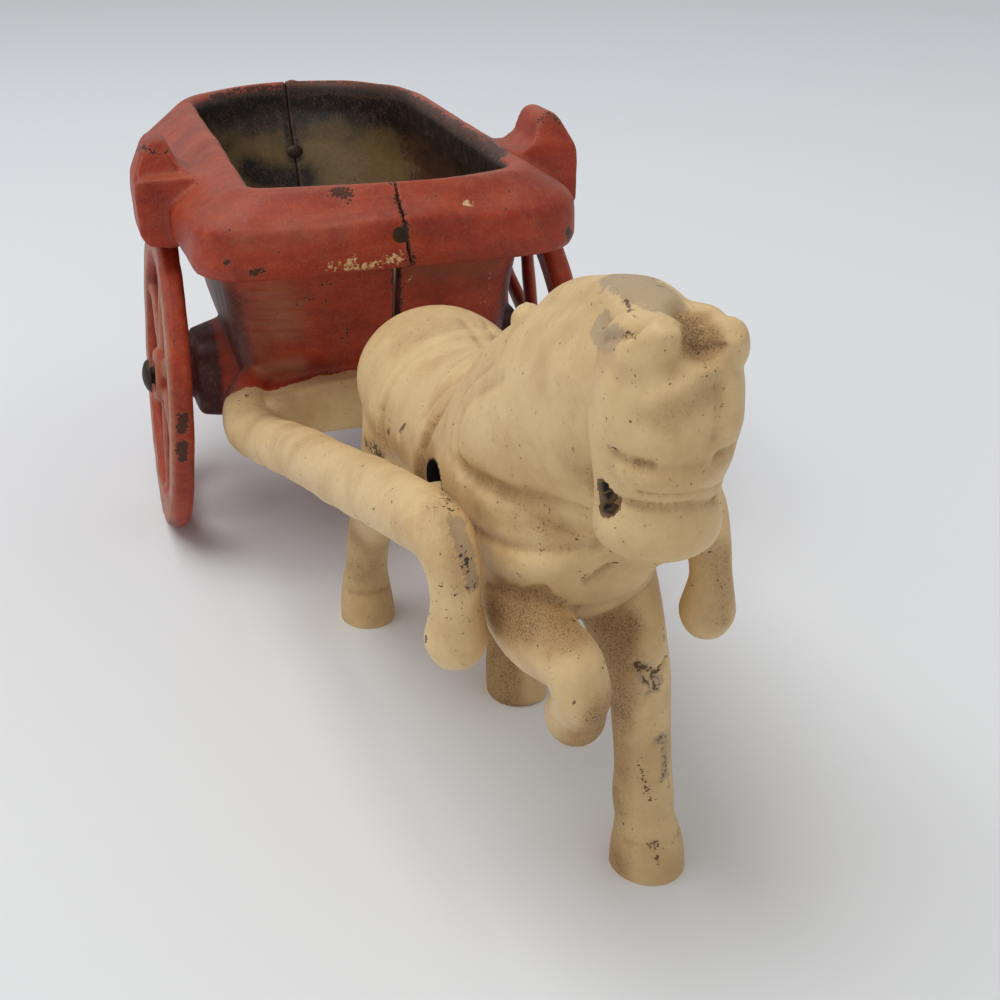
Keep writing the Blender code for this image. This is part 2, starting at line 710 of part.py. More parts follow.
def horse_trunk(bm, shrink=0.0):
    """Barrel and neck, through stations of x, z, half width and half depth from the pegs."""
    barrel = [
        (-50.0, -0.6, 4.0, 3.6), (-48.0, -1.2, 7.2, 6.4), (-44.0, -1.7, 9.9, 8.9),
        (-37.0, -1.8, 10.8, 9.9), (-28.0, -1.5, 10.6, 9.7), (-18.0, -0.6, 10.5, 10.2),
        (-8.0, 0.6, 10.5, 11.4), (2.0, 1.8, 10.2, 12.4), (10.0, 1.4, 9.6, 12.6),
        (16.0, 0.2, 8.8, 11.2), (20.5, -0.6, 7.4, 8.4), (23.2, -1.4, 4.8, 4.8),
    ]
    neck = [
        (0.0, 3.6, 9.8, 11.0), (8.0, 8.2, 9.4, 12.0), (16.0, 13.0, 8.4, 11.6),
        (23.0, 17.0, 7.4, 10.4), (29.0, 20.4, 6.6, 8.8), (35.0, 22.6, 5.5, 6.6),
    ]
    for table in (barrel, neck):
        rows = []
        for x, z, across, depth in table:
            across = max(across * wide() - shrink, 1.2)
            depth = max(depth - shrink, 1.2)
            rows.append((PEG_FORWARD + x, 0.0, PEG_HEIGHT + z, across, depth))
        sweep(bm, rows, sides=20 if shrink == 0 else 12, steps=3 if shrink == 0 else 1)


def horse_head(bm):
    """The head, hanging from the poll to the muzzle, with the nose band and lips."""
    head = [
        (37.2, 30.0, 3.4, 3.0), (37.3, 28.4, 4.9, 4.8), (37.0, 26.0, 5.7, 6.0),
        (36.4, 22.4, 6.2, 6.6), (35.8, 19.4, 6.2, 6.6), (35.2, 17.0, 5.4, 6.2),
        (35.0, 14.8, 4.9, 5.8), (35.0, 13.0, 4.8, 5.7), (35.2, 11.0, 5.1, 5.8),
        (35.4, 9.4, 4.5, 5.0), (35.5, 8.3, 2.8, 3.2),
    ]
    rows = [(PEG_FORWARD + x, 0.0, PEG_HEIGHT + z, across, depth)
            for x, z, across, depth in head]
    sweep(bm, rows, sides=18, steps=3)


def horse_mane(bm):
    """The raised crest of the neck, from the withers to the poll."""
    crest = [
        (3.0, 15.0, 2.6, 2.6), (8.0, 18.4, 3.0, 3.2), (14.0, 22.0, 3.2, 3.6),
        (21.0, 24.6, 3.2, 3.6), (28.0, 27.0, 3.2, 3.2), (34.0, 28.2, 3.0, 2.8),
        (38.0, 28.6, 2.6, 2.4), (40.4, 28.0, 1.6, 1.4),
    ]
    rows = [(PEG_FORWARD + x, 0.0, PEG_HEIGHT + z, across, depth)
            for x, z, across, depth in crest]
    sweep(bm, rows, sides=12, steps=2)


def horse_tail(bm):
    """The tail, lying close behind the rump."""
    tail = [
        (-46.5, 4.6, 2.4, 2.2), (-50.0, 2.4, 3.0, 2.8), (-52.0, -3.0, 3.4, 3.0),
        (-52.4, -10.0, 3.2, 2.8), (-51.6, -16.0, 2.4, 2.2), (-51.0, -19.0, 1.0, 1.0),
    ]
    rows = [(PEG_FORWARD + x, 0.0, PEG_HEIGHT + z, across, depth)
            for x, z, across, depth in tail]
    sweep(bm, rows, sides=12, steps=2)


def limb(bm, side, table, sides=14, steps=3):
    rows = [(PEG_FORWARD + x, side * y, z, across, depth) for x, y, z, across, depth in table]
    sweep(bm, rows, sides=sides, steps=steps)


def horse_legs(bm, side):
    """The two legs of one side, through stations from the pegs and the floor."""
    if side == RIGHT:
        fore = [
            (7.0, 5.0, 40.0, 4.6, 6.2), (12.0, 5.5, 36.5, 4.4, 5.4), (18.0, 5.4, 34.6, 3.9, 4.8),
            (24.0, 4.9, 35.4, 3.3, 3.9), (28.4, 4.4, 36.4, 3.0, 3.5), (29.4, 3.9, 33.8, 2.8, 3.1),
            (27.4, 3.6, 31.0, 2.6, 2.8), (25.4, 3.3, 29.2, 2.9, 3.1), (23.6, 3.1, 27.2, 3.1, 3.4),
            (22.8, 3.0, 26.1, 2.8, 3.1),
        ]
        hind = [
            (-38.0, 4.6, 41.0, 5.6, 8.0), (-36.0, 6.2, 32.0, 5.0, 7.2), (-39.5, 7.6, 25.0, 4.0, 5.2),
            (-46.0, 8.3, 18.4, 3.3, 4.0), (-49.4, 8.6, 13.6, 3.0, 3.3), (-51.2, 8.8, 8.6, 3.0, 3.2),
            (-52.0, 8.9, 5.6, 3.4, 3.8), (-52.2, 8.9, 2.6, 3.8, 4.6), (-52.0, 8.9, -1.2, 4.0, 5.0),
        ]
    else:
        fore = [
            (6.0, 4.8, 41.0, 4.8, 6.4), (10.6, 5.2, 35.5, 4.6, 5.6), (14.4, 5.8, 30.0, 3.9, 4.6),
            (15.8, 6.6, 25.6, 3.4, 3.7), (15.4, 7.1, 21.5, 3.2, 3.3), (14.6, 7.8, 14.0, 3.1, 3.1),
            (13.7, 8.3, 9.0, 3.4, 3.5), (13.8, 8.5, 6.0, 3.3, 3.6), (14.2, 8.7, 3.0, 3.9, 4.5),
            (14.4, 8.7, -1.2, 4.2, 4.8),
        ]
        hind = [
            (-38.0, 4.6, 41.0, 5.6, 8.0), (-32.0, 6.2, 32.0, 5.0, 7.2), (-31.0, 7.0, 25.0, 4.0, 5.2),
            (-34.0, 6.8, 18.6, 3.3, 4.0), (-32.4, 6.4, 13.4, 2.9, 3.3), (-29.2, 6.0, 8.4, 2.9, 3.2),
            (-27.2, 5.8, 5.6, 3.4, 3.8), (-26.0, 5.7, 2.8, 3.8, 4.6), (-24.8, 5.7, -1.2, 4.0, 5.0),
        ]
    limb(bm, side, fore)
    limb(bm, side, hind)


def horse_ear(bm, side):
    ear = [
        (37.0, 3.1, PEG_HEIGHT + 25.0, 2.6, 2.8), (39.0, 3.1, PEG_HEIGHT + 27.2, 2.3, 2.4),
        (40.9, 3.0, PEG_HEIGHT + 29.2, 1.9, 1.9), (41.8, 2.9, PEG_HEIGHT + 30.3, 1.0, 1.0),
    ]
    limb(bm, side, ear, sides=12, steps=2)


def harness(bm):
    """The raised harness cast on the horse: saddle, girth, breast band and terret knob."""
    strap = 0.8
    for x, z, across, depth, width in (
        (-6.5, 0.8, 10.5, 11.6, 3.2), (-26.0, -1.4, 10.6, 9.7, 2.0),
    ):
        row = (0.0, PEG_HEIGHT + z, across * wide() + strap, depth + strap)
        sweep(bm, [(PEG_FORWARD + x - width / 2, *row), (PEG_FORWARD + x + width / 2, *row)],
              sides=24, steps=1)
    breast = []
    for k in range(13):
        turn = math.radians(-78 + 156 * k / 12)
        x = -4.0 + 28.6 * math.cos(turn) ** 0.8
        y = 10.0 * wide() * math.sin(turn)
        z = PEG_HEIGHT + 1.6 - 2.6 * math.cos(turn)
        breast.append((PEG_FORWARD + x, y, z, 1.0, 2.2))
    sweep_band(bm, breast)
    knob = [(-1.0, 0.0, PEG_HEIGHT + 11.6, 1.8, 1.8), (-0.4, 0.0, PEG_HEIGHT + 15.6, 1.6, 1.6),
            (0.0, 0.0, PEG_HEIGHT + 18.2, 1.8, 1.8), (0.2, 0.0, PEG_HEIGHT + 19.6, 0.9, 0.9)]
    limb(bm, 1, knob, sides=12, steps=2)


def sweep_band(bm, rows):
    """A flat band round the chest: each station has a half thickness and a half height."""
    rings = []
    for i, (x, y, z, thick, tall) in enumerate(rows):
        ahead = Vector(rows[min(i + 1, len(rows) - 1)][:2])
        behind = Vector(rows[max(i - 1, 0)][:2])
        along = (ahead - behind).normalized()
        out = Vector((along.y, -along.x))
        ring = []
        for k in range(10):
            turn = math.tau * k / 10
            push = thick * math.cos(turn)
            ring.append(place(x + out.x * push, y + out.y * push, z + tall * math.sin(turn)))
        rings.append(ring)
    bridge(bm, rings)


def blend_shapes(item, voxel, keep):
    """Melt the overlapping limbs of an object into one casting with soft joins."""
    remesh = item.modifiers.new("blend", "REMESH")
    remesh.mode = "VOXEL"
    remesh.voxel_size = voxel * MM
    remesh.use_smooth_shade = True
    soften = item.modifiers.new("soften", "SMOOTH")
    soften.factor = 0.5
    soften.iterations = 3
    fewer = item.modifiers.new("fewer", "DECIMATE")
    fewer.ratio = keep


def horse_half(side):
    """One hollow half casting of the horse, with the two legs and the ear of its side."""
    bm = bmesh.new()
    horse_trunk(bm)
    horse_head(bm)
    horse_mane(bm)
    horse_tail(bm)
    horse_ear(bm, side)
    horse_legs(bm, side)
    harness(bm)
    item = finish_object("horse_" + side_name(side) + "_half", bm, cream_paint(), angle=60,
                         origin=place(PEG_FORWARD, 0, PEG_HEIGHT))
    blend_shapes(item, HORSE_VOXEL, HORSE_DECIMATE)
    boolean(item, other_side(side, "horse_seam_" + side_name(side)), "DIFFERENCE")
    bm = bmesh.new()
    horse_trunk(bm, shrink=HORSE_WALL)
    core = guide("horse_core_" + side_name(side), bm)
    blend_shapes(core, CORE_VOXEL, CORE_DECIMATE)
    boolean(item, core, "DIFFERENCE")
    bm = bmesh.new()
    box(bm, (-20, -60, -30), (200, 60, 0))
    boolean(item, guide("floor_trim_" + side_name(side), bm), "DIFFERENCE")
    bm = bmesh.new()
    cylinder(bm, (PEG_FORWARD, side * 5, PEG_HEIGHT), (PEG_FORWARD, side * 20, PEG_HEIGHT),
             PEG_DIAMETER / 2 + RUNNING_GAP, sides=14)
    boolean(item, guide("peg_hole_" + side_name(side), bm), "DIFFERENCE")
    shanks = []
    heads = []
    for x, z, reach in (FLANK_RIVET, CHEST_RIVET):
        x += PEG_FORWARD
        z += PEG_HEIGHT
        shanks.append(((x, -20, z), (x, 20, z)))
        heads.append(((x, side * (reach * wide() - RUNNING_GAP), z), (x, side * 20, z)))
    rivet_seats(item, "horse_" + side_name(side), shanks, heads)
    return item


def main():
    clear_scene()
    for side in (RIGHT, LEFT):
        cart_half(side)
        wheel(side)
        horse_half(side)
    axle()
    seat, tail, z = front_rivet_line()
    rivet("cart_front_rivet", (seat, 0, z), (tail, 0, z), bare_iron(), tail_head=False)
    outside, inside, z = rear_rivet_line()
    rivet("cart_rear_rivet", (outside, 0, z), (inside, 0, z), bare_iron())
    pivot = place(PEG_FORWARD, 0, PEG_HEIGHT)
    for name, (x, z, reach) in (("horse_flank_rivet", FLANK_RIVET),
                                ("horse_chest_rivet", CHEST_RIVET)):
        x += PEG_FORWARD
        z += PEG_HEIGHT
        reach *= wide()
        rivet(name, (x, -reach, z), (x, reach, z), cream_paint(), origin=pivot)


main()
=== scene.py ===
"""The looks of a cast iron toy: a red two-wheeled cart whose cream shafts hold a walking horse.

Sizes are in millimetres, measured from the axle (x), the middle seam (y) and the floor (z). MM turns
them into the frame's metres. X runs forward, Y to the toy's left and Z up.
"""
import math
from collections import namedtuple

import bmesh
import bpy
import numpy as np
from bpy.props import FloatProperty, FloatVectorProperty, IntProperty, PointerProperty
from mathutils import Matrix, Vector
from mathutils.bvhtree import BVHTree


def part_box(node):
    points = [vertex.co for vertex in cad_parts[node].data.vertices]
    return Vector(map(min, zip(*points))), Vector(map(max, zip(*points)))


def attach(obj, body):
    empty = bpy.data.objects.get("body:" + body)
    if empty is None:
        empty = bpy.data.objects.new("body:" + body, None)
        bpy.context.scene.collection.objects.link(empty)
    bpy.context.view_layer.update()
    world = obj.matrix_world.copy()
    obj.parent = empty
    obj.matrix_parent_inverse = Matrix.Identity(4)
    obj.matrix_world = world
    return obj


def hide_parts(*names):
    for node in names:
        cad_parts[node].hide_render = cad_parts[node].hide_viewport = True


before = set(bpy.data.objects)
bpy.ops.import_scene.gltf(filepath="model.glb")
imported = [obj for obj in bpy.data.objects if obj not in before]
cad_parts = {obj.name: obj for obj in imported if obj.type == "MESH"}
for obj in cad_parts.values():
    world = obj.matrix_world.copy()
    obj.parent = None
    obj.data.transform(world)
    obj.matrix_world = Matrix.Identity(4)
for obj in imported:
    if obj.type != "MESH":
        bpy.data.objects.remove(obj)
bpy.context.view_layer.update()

bl_info = {
    "name": "Cast Iron Toy Cart and Horse",
    "version": (1, 0, 0),
    "blender": (4, 5, 0),
    "location": "View3D > Sidebar > Toy",
    "description": "Builds the painted castings, wheels and studio of a cast iron toy",
    "category": "Object",
}

MM = 0.001
RIGHT = -1
LEFT = 1
SIDES = ((RIGHT, "right"), (LEFT, "left"))

# Places read from the frame
AXLE_LOW, AXLE_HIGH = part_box("axle")
AXLE_X = (AXLE_LOW[0] + AXLE_HIGH[0]) / 2 / MM
AXLE_HEIGHT = (AXLE_LOW[2] + AXLE_HIGH[2]) / 2 / MM
AXLE_REACH = AXLE_HIGH[1] / MM

# Horse's pivot, from the axle and the floor
PEG_FORWARD = 97.0
PEG_HEIGHT = 41.5
PEG_DIAMETER = 2.8
PEG_HOLE_DIAMETER = 5.6
PEG_HOLE_SET_BACK = 1.2
PEG_HOLE_RISE = 0.4
PEG_HOLE_FLOOR = 7.6
PEG_HOLE_MOUTH = 20.0
PEG_END_GAP = 0.8

# Width that the horse's stations are drawn for
BARREL_WIDTH = 22.0

# Cart body
OPENING_FRONT = 28.2
OPENING_BACK = -44.0
RIM_RISE = 36.4
LIP_RISE = 22.8
BODY_RISE = 0.5
BODY_WIDTH = 45.0
BODY_FRONT = 19.5
BODY_BACK = -38.0
RIM_BAND_SIDE = 11.0
RIM_BAND_BACK = 5.4
LIP_FLARE = -1.6
LIP_CORNER_LIFT = 0.8
LIP_CROWN_LIFT = 1.3
FRONT_BOW = 3.5
BACK_BOW = 12.5
BACK_RADIUS_RIGHT = 2.5
BACK_RADIUS_LEFT = 8.0
FRONT_RADIUS = 2.0
FLARE_START = 8.0
BODY_LEAN = 4.0
WALL_TOP_DROP = 13.0
AXLE_TUBE_DIAMETER = 6.8
RIM_Z = AXLE_HEIGHT + RIM_RISE
LIP_Z = AXLE_HEIGHT + LIP_RISE
BODY_Z = AXLE_HEIGHT + BODY_RISE

# Paint on the cart: heights, and stretches along X from none to full
TUB_MIDDLE_Z = 45.0
CROSSBAR_CLEAR_Z = 34.0
CREAM_START = (20.8, 22.2)
CREAM_TOP = 29.4
CREAM_RISE = 5.0
ALL_CREAM = (43.0, 45.0)

# Arms over the wheels
ARM_FRONT = 15.5
ARM_LENGTH = 11.5
ARM_OVERHANG = 1.0
ARM_PEAK_RISE = 39.8
ARM_WHEEL_GAP = 1.0
ARM_DIP = 1.6
ARM_KNOB_SET_BACK = 0.7
ARM_LEDGE = 1.8
BRACKET_SQUARENESS = 0.6

# Crossbar and shafts
CROSSBAR_DEPTH = 7.5
CROSSBAR_HEIGHT = 8.6
CROSSBAR_DROP = 4.0
CROSSBAR_Z = AXLE_HEIGHT - CROSSBAR_DROP
SHAFT_ROOT_Y = 21.4
SHAFT_CREST = 2.2
SHAFT_DROOP = 9.8
SHAFT_NOSE = 18.5
SHAFT_SIDE_GAP = 0.6
SHAFT_TOE_IN = 2.0
LEFT_TIP_DROP = 1.4
LEFT_TIP_SLIM = 0.15
RIGHT_TIP_SLIM = 0.08

# Wheels and axle
WHEEL_DIAMETER = 50.0
WHEEL_TRACK = 66.0
HUB_LENGTH = 4.4
HUB_EDGE = 0.8
RIM_EDGE = 0.7
WHEEL_PLAY = 0.55
BOSS_GAP = 0.7
SPOKE_WIDTH_HUB = 4.2
SPOKE_WIDTH_RIM = 2.6
AXLE_DIAMETER = 2.8
AXLE_HEAD_DIAMETER = 5.4
AXLE_HEAD_HEIGHT = 1.3
WHEEL_OUTER = WHEEL_TRACK / 2

# Rivets
RIVET_DIAMETER = 2.6
RIVET_HEAD_DIAMETER = 3.8
RIVET_HEAD_HEIGHT = 0.9
SEAM_GROOVE = 0.35
SEAM_OPENING = 0.4
SEAM_OPENING_WIDTH = 2.2
SEAM_LINE_WIDTH = 0.7
SEAM_LINE_LOW = 33.0
# Forward and up from the pegs, and how far out from the seam
FLANK_RIVET = (-16.0, 0.0, 10.0)
CHEST_RIVET = (8.0, -5.0, 8.4)

# Fineness of the melted castings
CART_VOXEL = 0.45
HORSE_VOXEL = 0.40
WHEEL_VOXEL = 0.34

# Angles in degrees above which an edge shades as a crease
CAST_CREASE = 60.0
TURNED_CREASE = 50.0

# Camera, settled against the toy's symmetry, its round wheel and the floor
CAMERA_PLACE = (237.79, -44.21, 105.95)
CAMERA_YAW = 0.2821
CAMERA_PITCH = 0.4240
CAMERA_ROLL = -0.0194
CAMERA_LENS = 54.0
CAMERA_SENSOR = 36.0

# Studio, in metres in the frame
FLOOR_RADIUS = 4.0
FAR_FLOOR_START = 0.12
FAR_FLOOR_END = -0.55
KEY_LIGHT_SIZE = 0.7
KEY_LIGHT_PLACE = (0.02, -0.30, 0.85)

# A line on a casting: its radius, its depth or strength, and its points in x, y and z
Stroke = namedtuple("Stroke", "radius depth points")

# A round bar's radius, its head's radius and height, and the head's slopes in degrees
Bar = namedtuple("Bar", "shank head rise slopes")
AXLE_BAR = Bar(AXLE_DIAMETER / 2, AXLE_HEAD_DIAMETER / 2, AXLE_HEAD_HEIGHT, (8, 30, 50, 68, 84))
RIVET_BAR = Bar(RIVET_DIAMETER / 2, RIVET_HEAD_DIAMETER / 2, RIVET_HEAD_HEIGHT,
                (6, 25, 45, 65, 82))

# How strongly a paint is worn and dirty, each from 0 to 1
Wear = namedtuple("Wear", "edges chips hollows veil rubbed film metal")
CART_WEAR = Wear(edges=0.26, chips=0.16, hollows=0.5, veil=0.06, rubbed=0.13, film=0.5, metal=0.3)
HORSE_WEAR = Wear(edges=0.12, chips=0.08, hollows=0.75, veil=0.16, rubbed=0.08, film=0.68,
                  metal=0.05)


def place(x, y, z):
    """A point measured from the axle, the seam and the floor, in metres in the frame."""
    return Vector(((AXLE_X + x) * MM, y * MM, z * MM))


def rounded(value, power):
    """A sine or cosine raised to a power, keeping its sign; below 1 squares a circle off."""
    return math.copysign(abs(value) ** power, value)


def ease(low, high, values):
    """0 at low, 1 at high, easing between them, for a number or an array; high may lie below low."""
    t = np.clip((values - low) / (high - low), 0.0, 1.0)
    return t * t * (3 - 2 * t)


def bridge(bm, rings):
    """Join rings of equal count into one closed skin with flat ends."""
    loops = [[bm.verts.new(point) for point in ring] for ring in rings]
    count = len(loops[0])
    for low, high in zip(loops, loops[1:]):
        for i in range(count):
            j = (i + 1) % count
            bm.faces.new((low[i], low[j], high[j], high[i]))
    bm.faces.new(loops[0])
    bm.faces.new(reversed(loops[-1]))


def spline(stations, steps):
    """Points on a smooth curve through the stations, for every number in a station."""
    out = []
    last = len(stations) - 1
    for i in range(last):
        before = stations[max(i - 1, 0)]
        start = stations[i]
        end = stations[i + 1]
        after = stations[min(i + 2, last)]
        for step in range(steps):
            t = step / steps
            row = []
            for a, b, c, d in zip(before, start, end, after):
                bend = (2 * b) + (c - a) * t + (2 * a - 5 * b + 4 * c - d) * t * t
                row.append((bend + (3 * b - a - 3 * c + d) * t ** 3) / 2)
            out.append(row)
    out.append(list(stations[last]))
    return out


def sweep(bm, stations, sides=28, steps=5):
    """A rounded limb through stations of x, y, z, half width across and half depth."""
    rows = spline(stations, steps)
    rings = []
    for i, (x, y, z, across, depth) in enumerate(rows):
        ahead = Vector(rows[min(i + 1, len(rows) - 1)][:3])
        behind = Vector(rows[max(i - 1, 0)][:3])
        along = (ahead - behind).normalized()
        lateral = Vector((0, 1, 0))
        lateral = (lateral - along * lateral.dot(along)).normalized()
        normal = along.cross(lateral)
        ring = []
        for k in range(sides):
            turn = math.tau * k / sides
            point = Vector((x, y, z))
            point += lateral * (across * math.cos(turn)) + normal * (depth * math.sin(turn))
            ring.append(point)
        rings.append(ring)
    bridge(bm, rings)


def turned(bm, start, end, profile, sides=32):
    """A turned piece on the line from start to end, through (distance, radius) pairs."""
    first = Vector(start)
    along = (Vector(end) - first).normalized()
    lateral = along.orthogonal().normalized()
    normal = along.cross(lateral)
    rings = []
    for distance, radius in profile:
        ring = []
        for k in range(sides):
            turn = math.tau * k / sides
            spoke = lateral * math.cos(turn) + normal * math.sin(turn)
            ring.append(first + along * distance + spoke * radius)
        rings.append(ring)
    bridge(bm, rings)


def prism(bm, outline, front, back, bevel):
    """An outline of (y, z) points drawn out along X, with its edges rounded over."""
    bridge(bm, [[Vector((x, y, z)) for y, z in outline] for x in (back, front)])
    bmesh.ops.recalc_face_normals(bm, faces=bm.faces)
    bmesh.ops.bevel(bm, geom=bm.edges[:], offset=bevel, segments=2, profile=0.6,
                    affect="EDGES", clamp_overlap=True)


def link(name, data):
    """A new object in the scene for a mesh, a lamp or a lens."""
    item = bpy.data.objects.new(name, data)
    bpy.context.scene.collection.objects.link(item)
    return item


def mesh_from(name, bm):
    """A mesh made from finished shapes, which are then let go."""
    mesh = bpy.data.meshes.new(name)
    bm.to_mesh(mesh)
    bm.free()
    return mesh


def bake(item):
    """Apply an object's modifiers to its mesh."""
    bpy.context.view_layer.update()
    evaluated = item.evaluated_get(bpy.context.evaluated_depsgraph_get())
    mesh = bpy.data.meshes.new_from_object(evaluated)
    item.modifiers.clear()
    old = item.data
    item.data = mesh
    bpy.data.meshes.remove(old)
    mesh.name = item.name


def melt(name, bm, voxel, rounds):
    """Melt overlapping closed shapes into one casting with softened joins, in millimetres."""
    bmesh.ops.recalc_face_normals(bm, faces=bm.faces)
    item = link(name, mesh_from(name, bm))
    remesh = item.modifiers.new("melt", "REMESH")
    remesh.mode = "VOXEL"
    remesh.voxel_size = voxel
    soften = item.modifiers.new("soften", "SMOOTH")
    soften.factor = 0.5
    soften.iterations = rounds
    bake(item)
    return item


def cut(item, bm):
    """Take a closed shape away from a casting."""
    bmesh.ops.recalc_face_normals(bm, faces=bm.faces)
    mesh = mesh_from("cutter", bm)
    cutter = link("cutter", mesh)
    step = item.modifiers.new("cut", "BOOLEAN")
    step.operation = "DIFFERENCE"
    step.object = cutter
    step.solver = "MANIFOLD"
    bake(item)
    bpy.data.objects.remove(cutter, do_unlink=True)
    bpy.data.meshes.remove(mesh)


def points_of(mesh):
    """A mesh's points as rows of x, y and z."""
    rows = np.empty(len(mesh.vertices) * 3)
    mesh.vertices.foreach_get("co", rows)
    return rows.reshape(-1, 3)


def normals_of(mesh):
    """The direction a mesh faces at each point."""
    rows = np.empty(len(mesh.vertices) * 3)
    mesh.vertex_normals.foreach_get("vector", rows)
    return rows.reshape(-1, 3)


def edges_of(mesh):
    """A mesh's edges as pairs of point numbers."""
    rows = np.empty(len(mesh.edges) * 2, dtype=np.int32)
    mesh.edges.foreach_get("vertices", rows)
    return rows.reshape(-1, 2)


def set_points(mesh, points):
    """Move a mesh's points to new places."""
    mesh.vertices.foreach_set("co", points.ravel())
    mesh.update()


def set_marks(mesh, name, values):
    """Keep a number per point, for the materials to read by name."""
    marks = mesh.attributes.new(name, "FLOAT", "POINT")
    marks.data.foreach_set("value", values.astype(np.float32))


def spread(values, edges, rounds):
    """Even out rows of numbers over a mesh by averaging each with its neighbours."""
    first, second = edges.T
    size = len(values)
    count = np.maximum(np.bincount(edges.ravel(), minlength=size), 1)
    out = np.array(values, dtype=float).reshape(size, -1)
    for _ in range(rounds):
        for column in out.T:
            total = np.bincount(first, weights=column[second], minlength=size)
            total += np.bincount(second, weights=column[first], minlength=size)
            column[:] = (column + total / count) / 2
    return out.reshape(np.shape(values))


def relief(mesh, rounds, full):
    """How far each point stands proud of its smoothed surroundings: 1 is full, -1 is sunk."""
    points = points_of(mesh)
    flat = spread(points, edges_of(mesh), rounds)
    proud = ((points - flat) * normals_of(mesh)).sum(axis=1)
    return np.clip(proud / full, -1.0, 1.0)


def lumps(points, size, seed):
    """A soft, repeatable unevenness between -1 and 1 for each point."""
    total = np.zeros(len(points))
    maker = np.random.RandomState(seed)
    for wave in range(7):
        direction = maker.normal(size=3)
        direction /= np.linalg.norm(direction)
        length = size * (0.7 + 0.25 * wave)
        phase = maker.uniform(0, math.tau)
        total += np.sin(points @ direction * (math.tau / length) + phase)
    return total / 4.2


def dent(mesh, depth, size, seed):
    """Give a casting the soft unevenness of its mould."""
    points = points_of(mesh)
    uneven = depth * lumps(points, size, seed)
    set_points(mesh, points + normals_of(mesh) * uneven[:, None])


def mark_relief(mesh, rounds, full, edge=None, hollow=1.0):
    """Mark what stands proud, for the wear, and what lies in hollows, for the dirt."""
    proud = relief(mesh, rounds, full)
    raised = np.clip(proud, 0, 1) if edge is None else ease(*edge, proud)
    set_marks(mesh, "proud", raised)
    set_marks(mesh, "sunk", np.clip(-proud * hollow, 0, 1))


def trace(skin, points, gap):
    """Lay a line on a casting: places along it, about gap apart, and how the skin faces there."""
    stretch = max((math.dist(a, b) for a, b in zip(points, points[1:])), default=0.0)
    steps = max(math.ceil(stretch / gap), 1)
    places = []
    facing = []
    for row in spline([list(point) for point in points], steps):
        hit, normal, _, _ = skin.find_nearest(Vector(row))
        if not places or math.dist(places[-1], hit) > gap * 0.6:
            places.append(hit)
            facing.append(normal)
    return np.array(places), np.array(facing)


def nearness(points, normals, path, radius):
    """How near each point lies to a path on the same face: 1 on it, 0 at the radius."""
    places, facing = path
    low = places.min(axis=0) - radius
    high = places.max(axis=0) + radius
    close = np.where(((points > low) & (points < high)).all(axis=1))[0]
    out = np.zeros(len(points))
    if not len(close):
        return out
    apart = np.linalg.norm(points[close, None, :] - places[None, :, :], axis=2)
    nearest = apart.argmin(axis=1)
    same = (normals[close] * facing[nearest]).sum(axis=1)
    share = np.clip(1 - (apart.min(axis=1) / radius) ** 2, 0.0, 1.0)
    out[close] = share ** 2 * ease(-0.1, 0.35, same)
    return out


def skin_of(mesh):
    """A mesh's surface, for finding the nearest place on it."""
    points = points_of(mesh)
    faces = [tuple(face.vertices) for face in mesh.polygons]
    return BVHTree.FromPolygons([Vector(point) for point in points], faces)


def along(mesh, strokes, origin):
    """For each stroke, how near every point of the mesh lies to it."""
    skin = skin_of(mesh)
    points = points_of(mesh)
    normals = normals_of(mesh)
    for stroke in strokes:
        places = [np.add(point, origin) for point in stroke.points]
        path = trace(skin, places, min(stroke.radius * 0.6, 0.8))
        yield stroke, nearness(points, normals, path, stroke.radius)


def press(mesh, strokes, origin=(0.0, 0.0, 0.0)):
    """Raise or sink a casting along strokes, measured from an origin."""
    rise = np.zeros(len(mesh.vertices))
    for stroke, near in along(mesh, strokes, origin):
        rise += near * stroke.depth
    set_points(mesh, points_of(mesh) + normals_of(mesh) * rise[:, None])


def stained(mesh, strokes, origin=(0.0, 0.0, 0.0)):
    """A mark per point from strokes, whose depth is how strong the mark is."""
    mark = np.zeros(len(mesh.vertices))
    for stroke, near in along(mesh, strokes, origin):
        mark = np.maximum(mark, near * stroke.depth)
    return mark


def both_sides(strokes):
    """The strokes of one side, and the same ones across the seam."""
    other = [stroke._replace(points=[(x, -y, z) for x, y, z in stroke.points])
             for stroke in strokes]
    return [*strokes, *other]


def slice_off(mesh, place_on, keep):
    """Cut a mesh along a plane, keep the side that the direction points to and close the cut."""
    bm = bmesh.new()
    bm.from_mesh(mesh)
    result = bmesh.ops.bisect_plane(bm, geom=bm.verts[:] + bm.edges[:] + bm.faces[:],
                                    plane_co=place_on, plane_no=keep, clear_inner=True)
    border = [item for item in result["geom_cut"] if isinstance(item, bmesh.types.BMEdge)]
    caps = bmesh.ops.holes_fill(bm, edges=border, sides=0)["faces"]
    bmesh.ops.triangulate(bm, faces=caps)
    bm.to_mesh(mesh)
    bm.free()


def to_frame(item, crease):
    """Turn a finished casting from millimetres at the axle into the frame's metres."""
    item.data.transform(Matrix.Translation((AXLE_X * MM, 0, 0)) @ Matrix.Scale(MM, 4))
    item.data.shade_smooth()
    item.data.set_sharp_from_angle(angle=math.radians(crease))


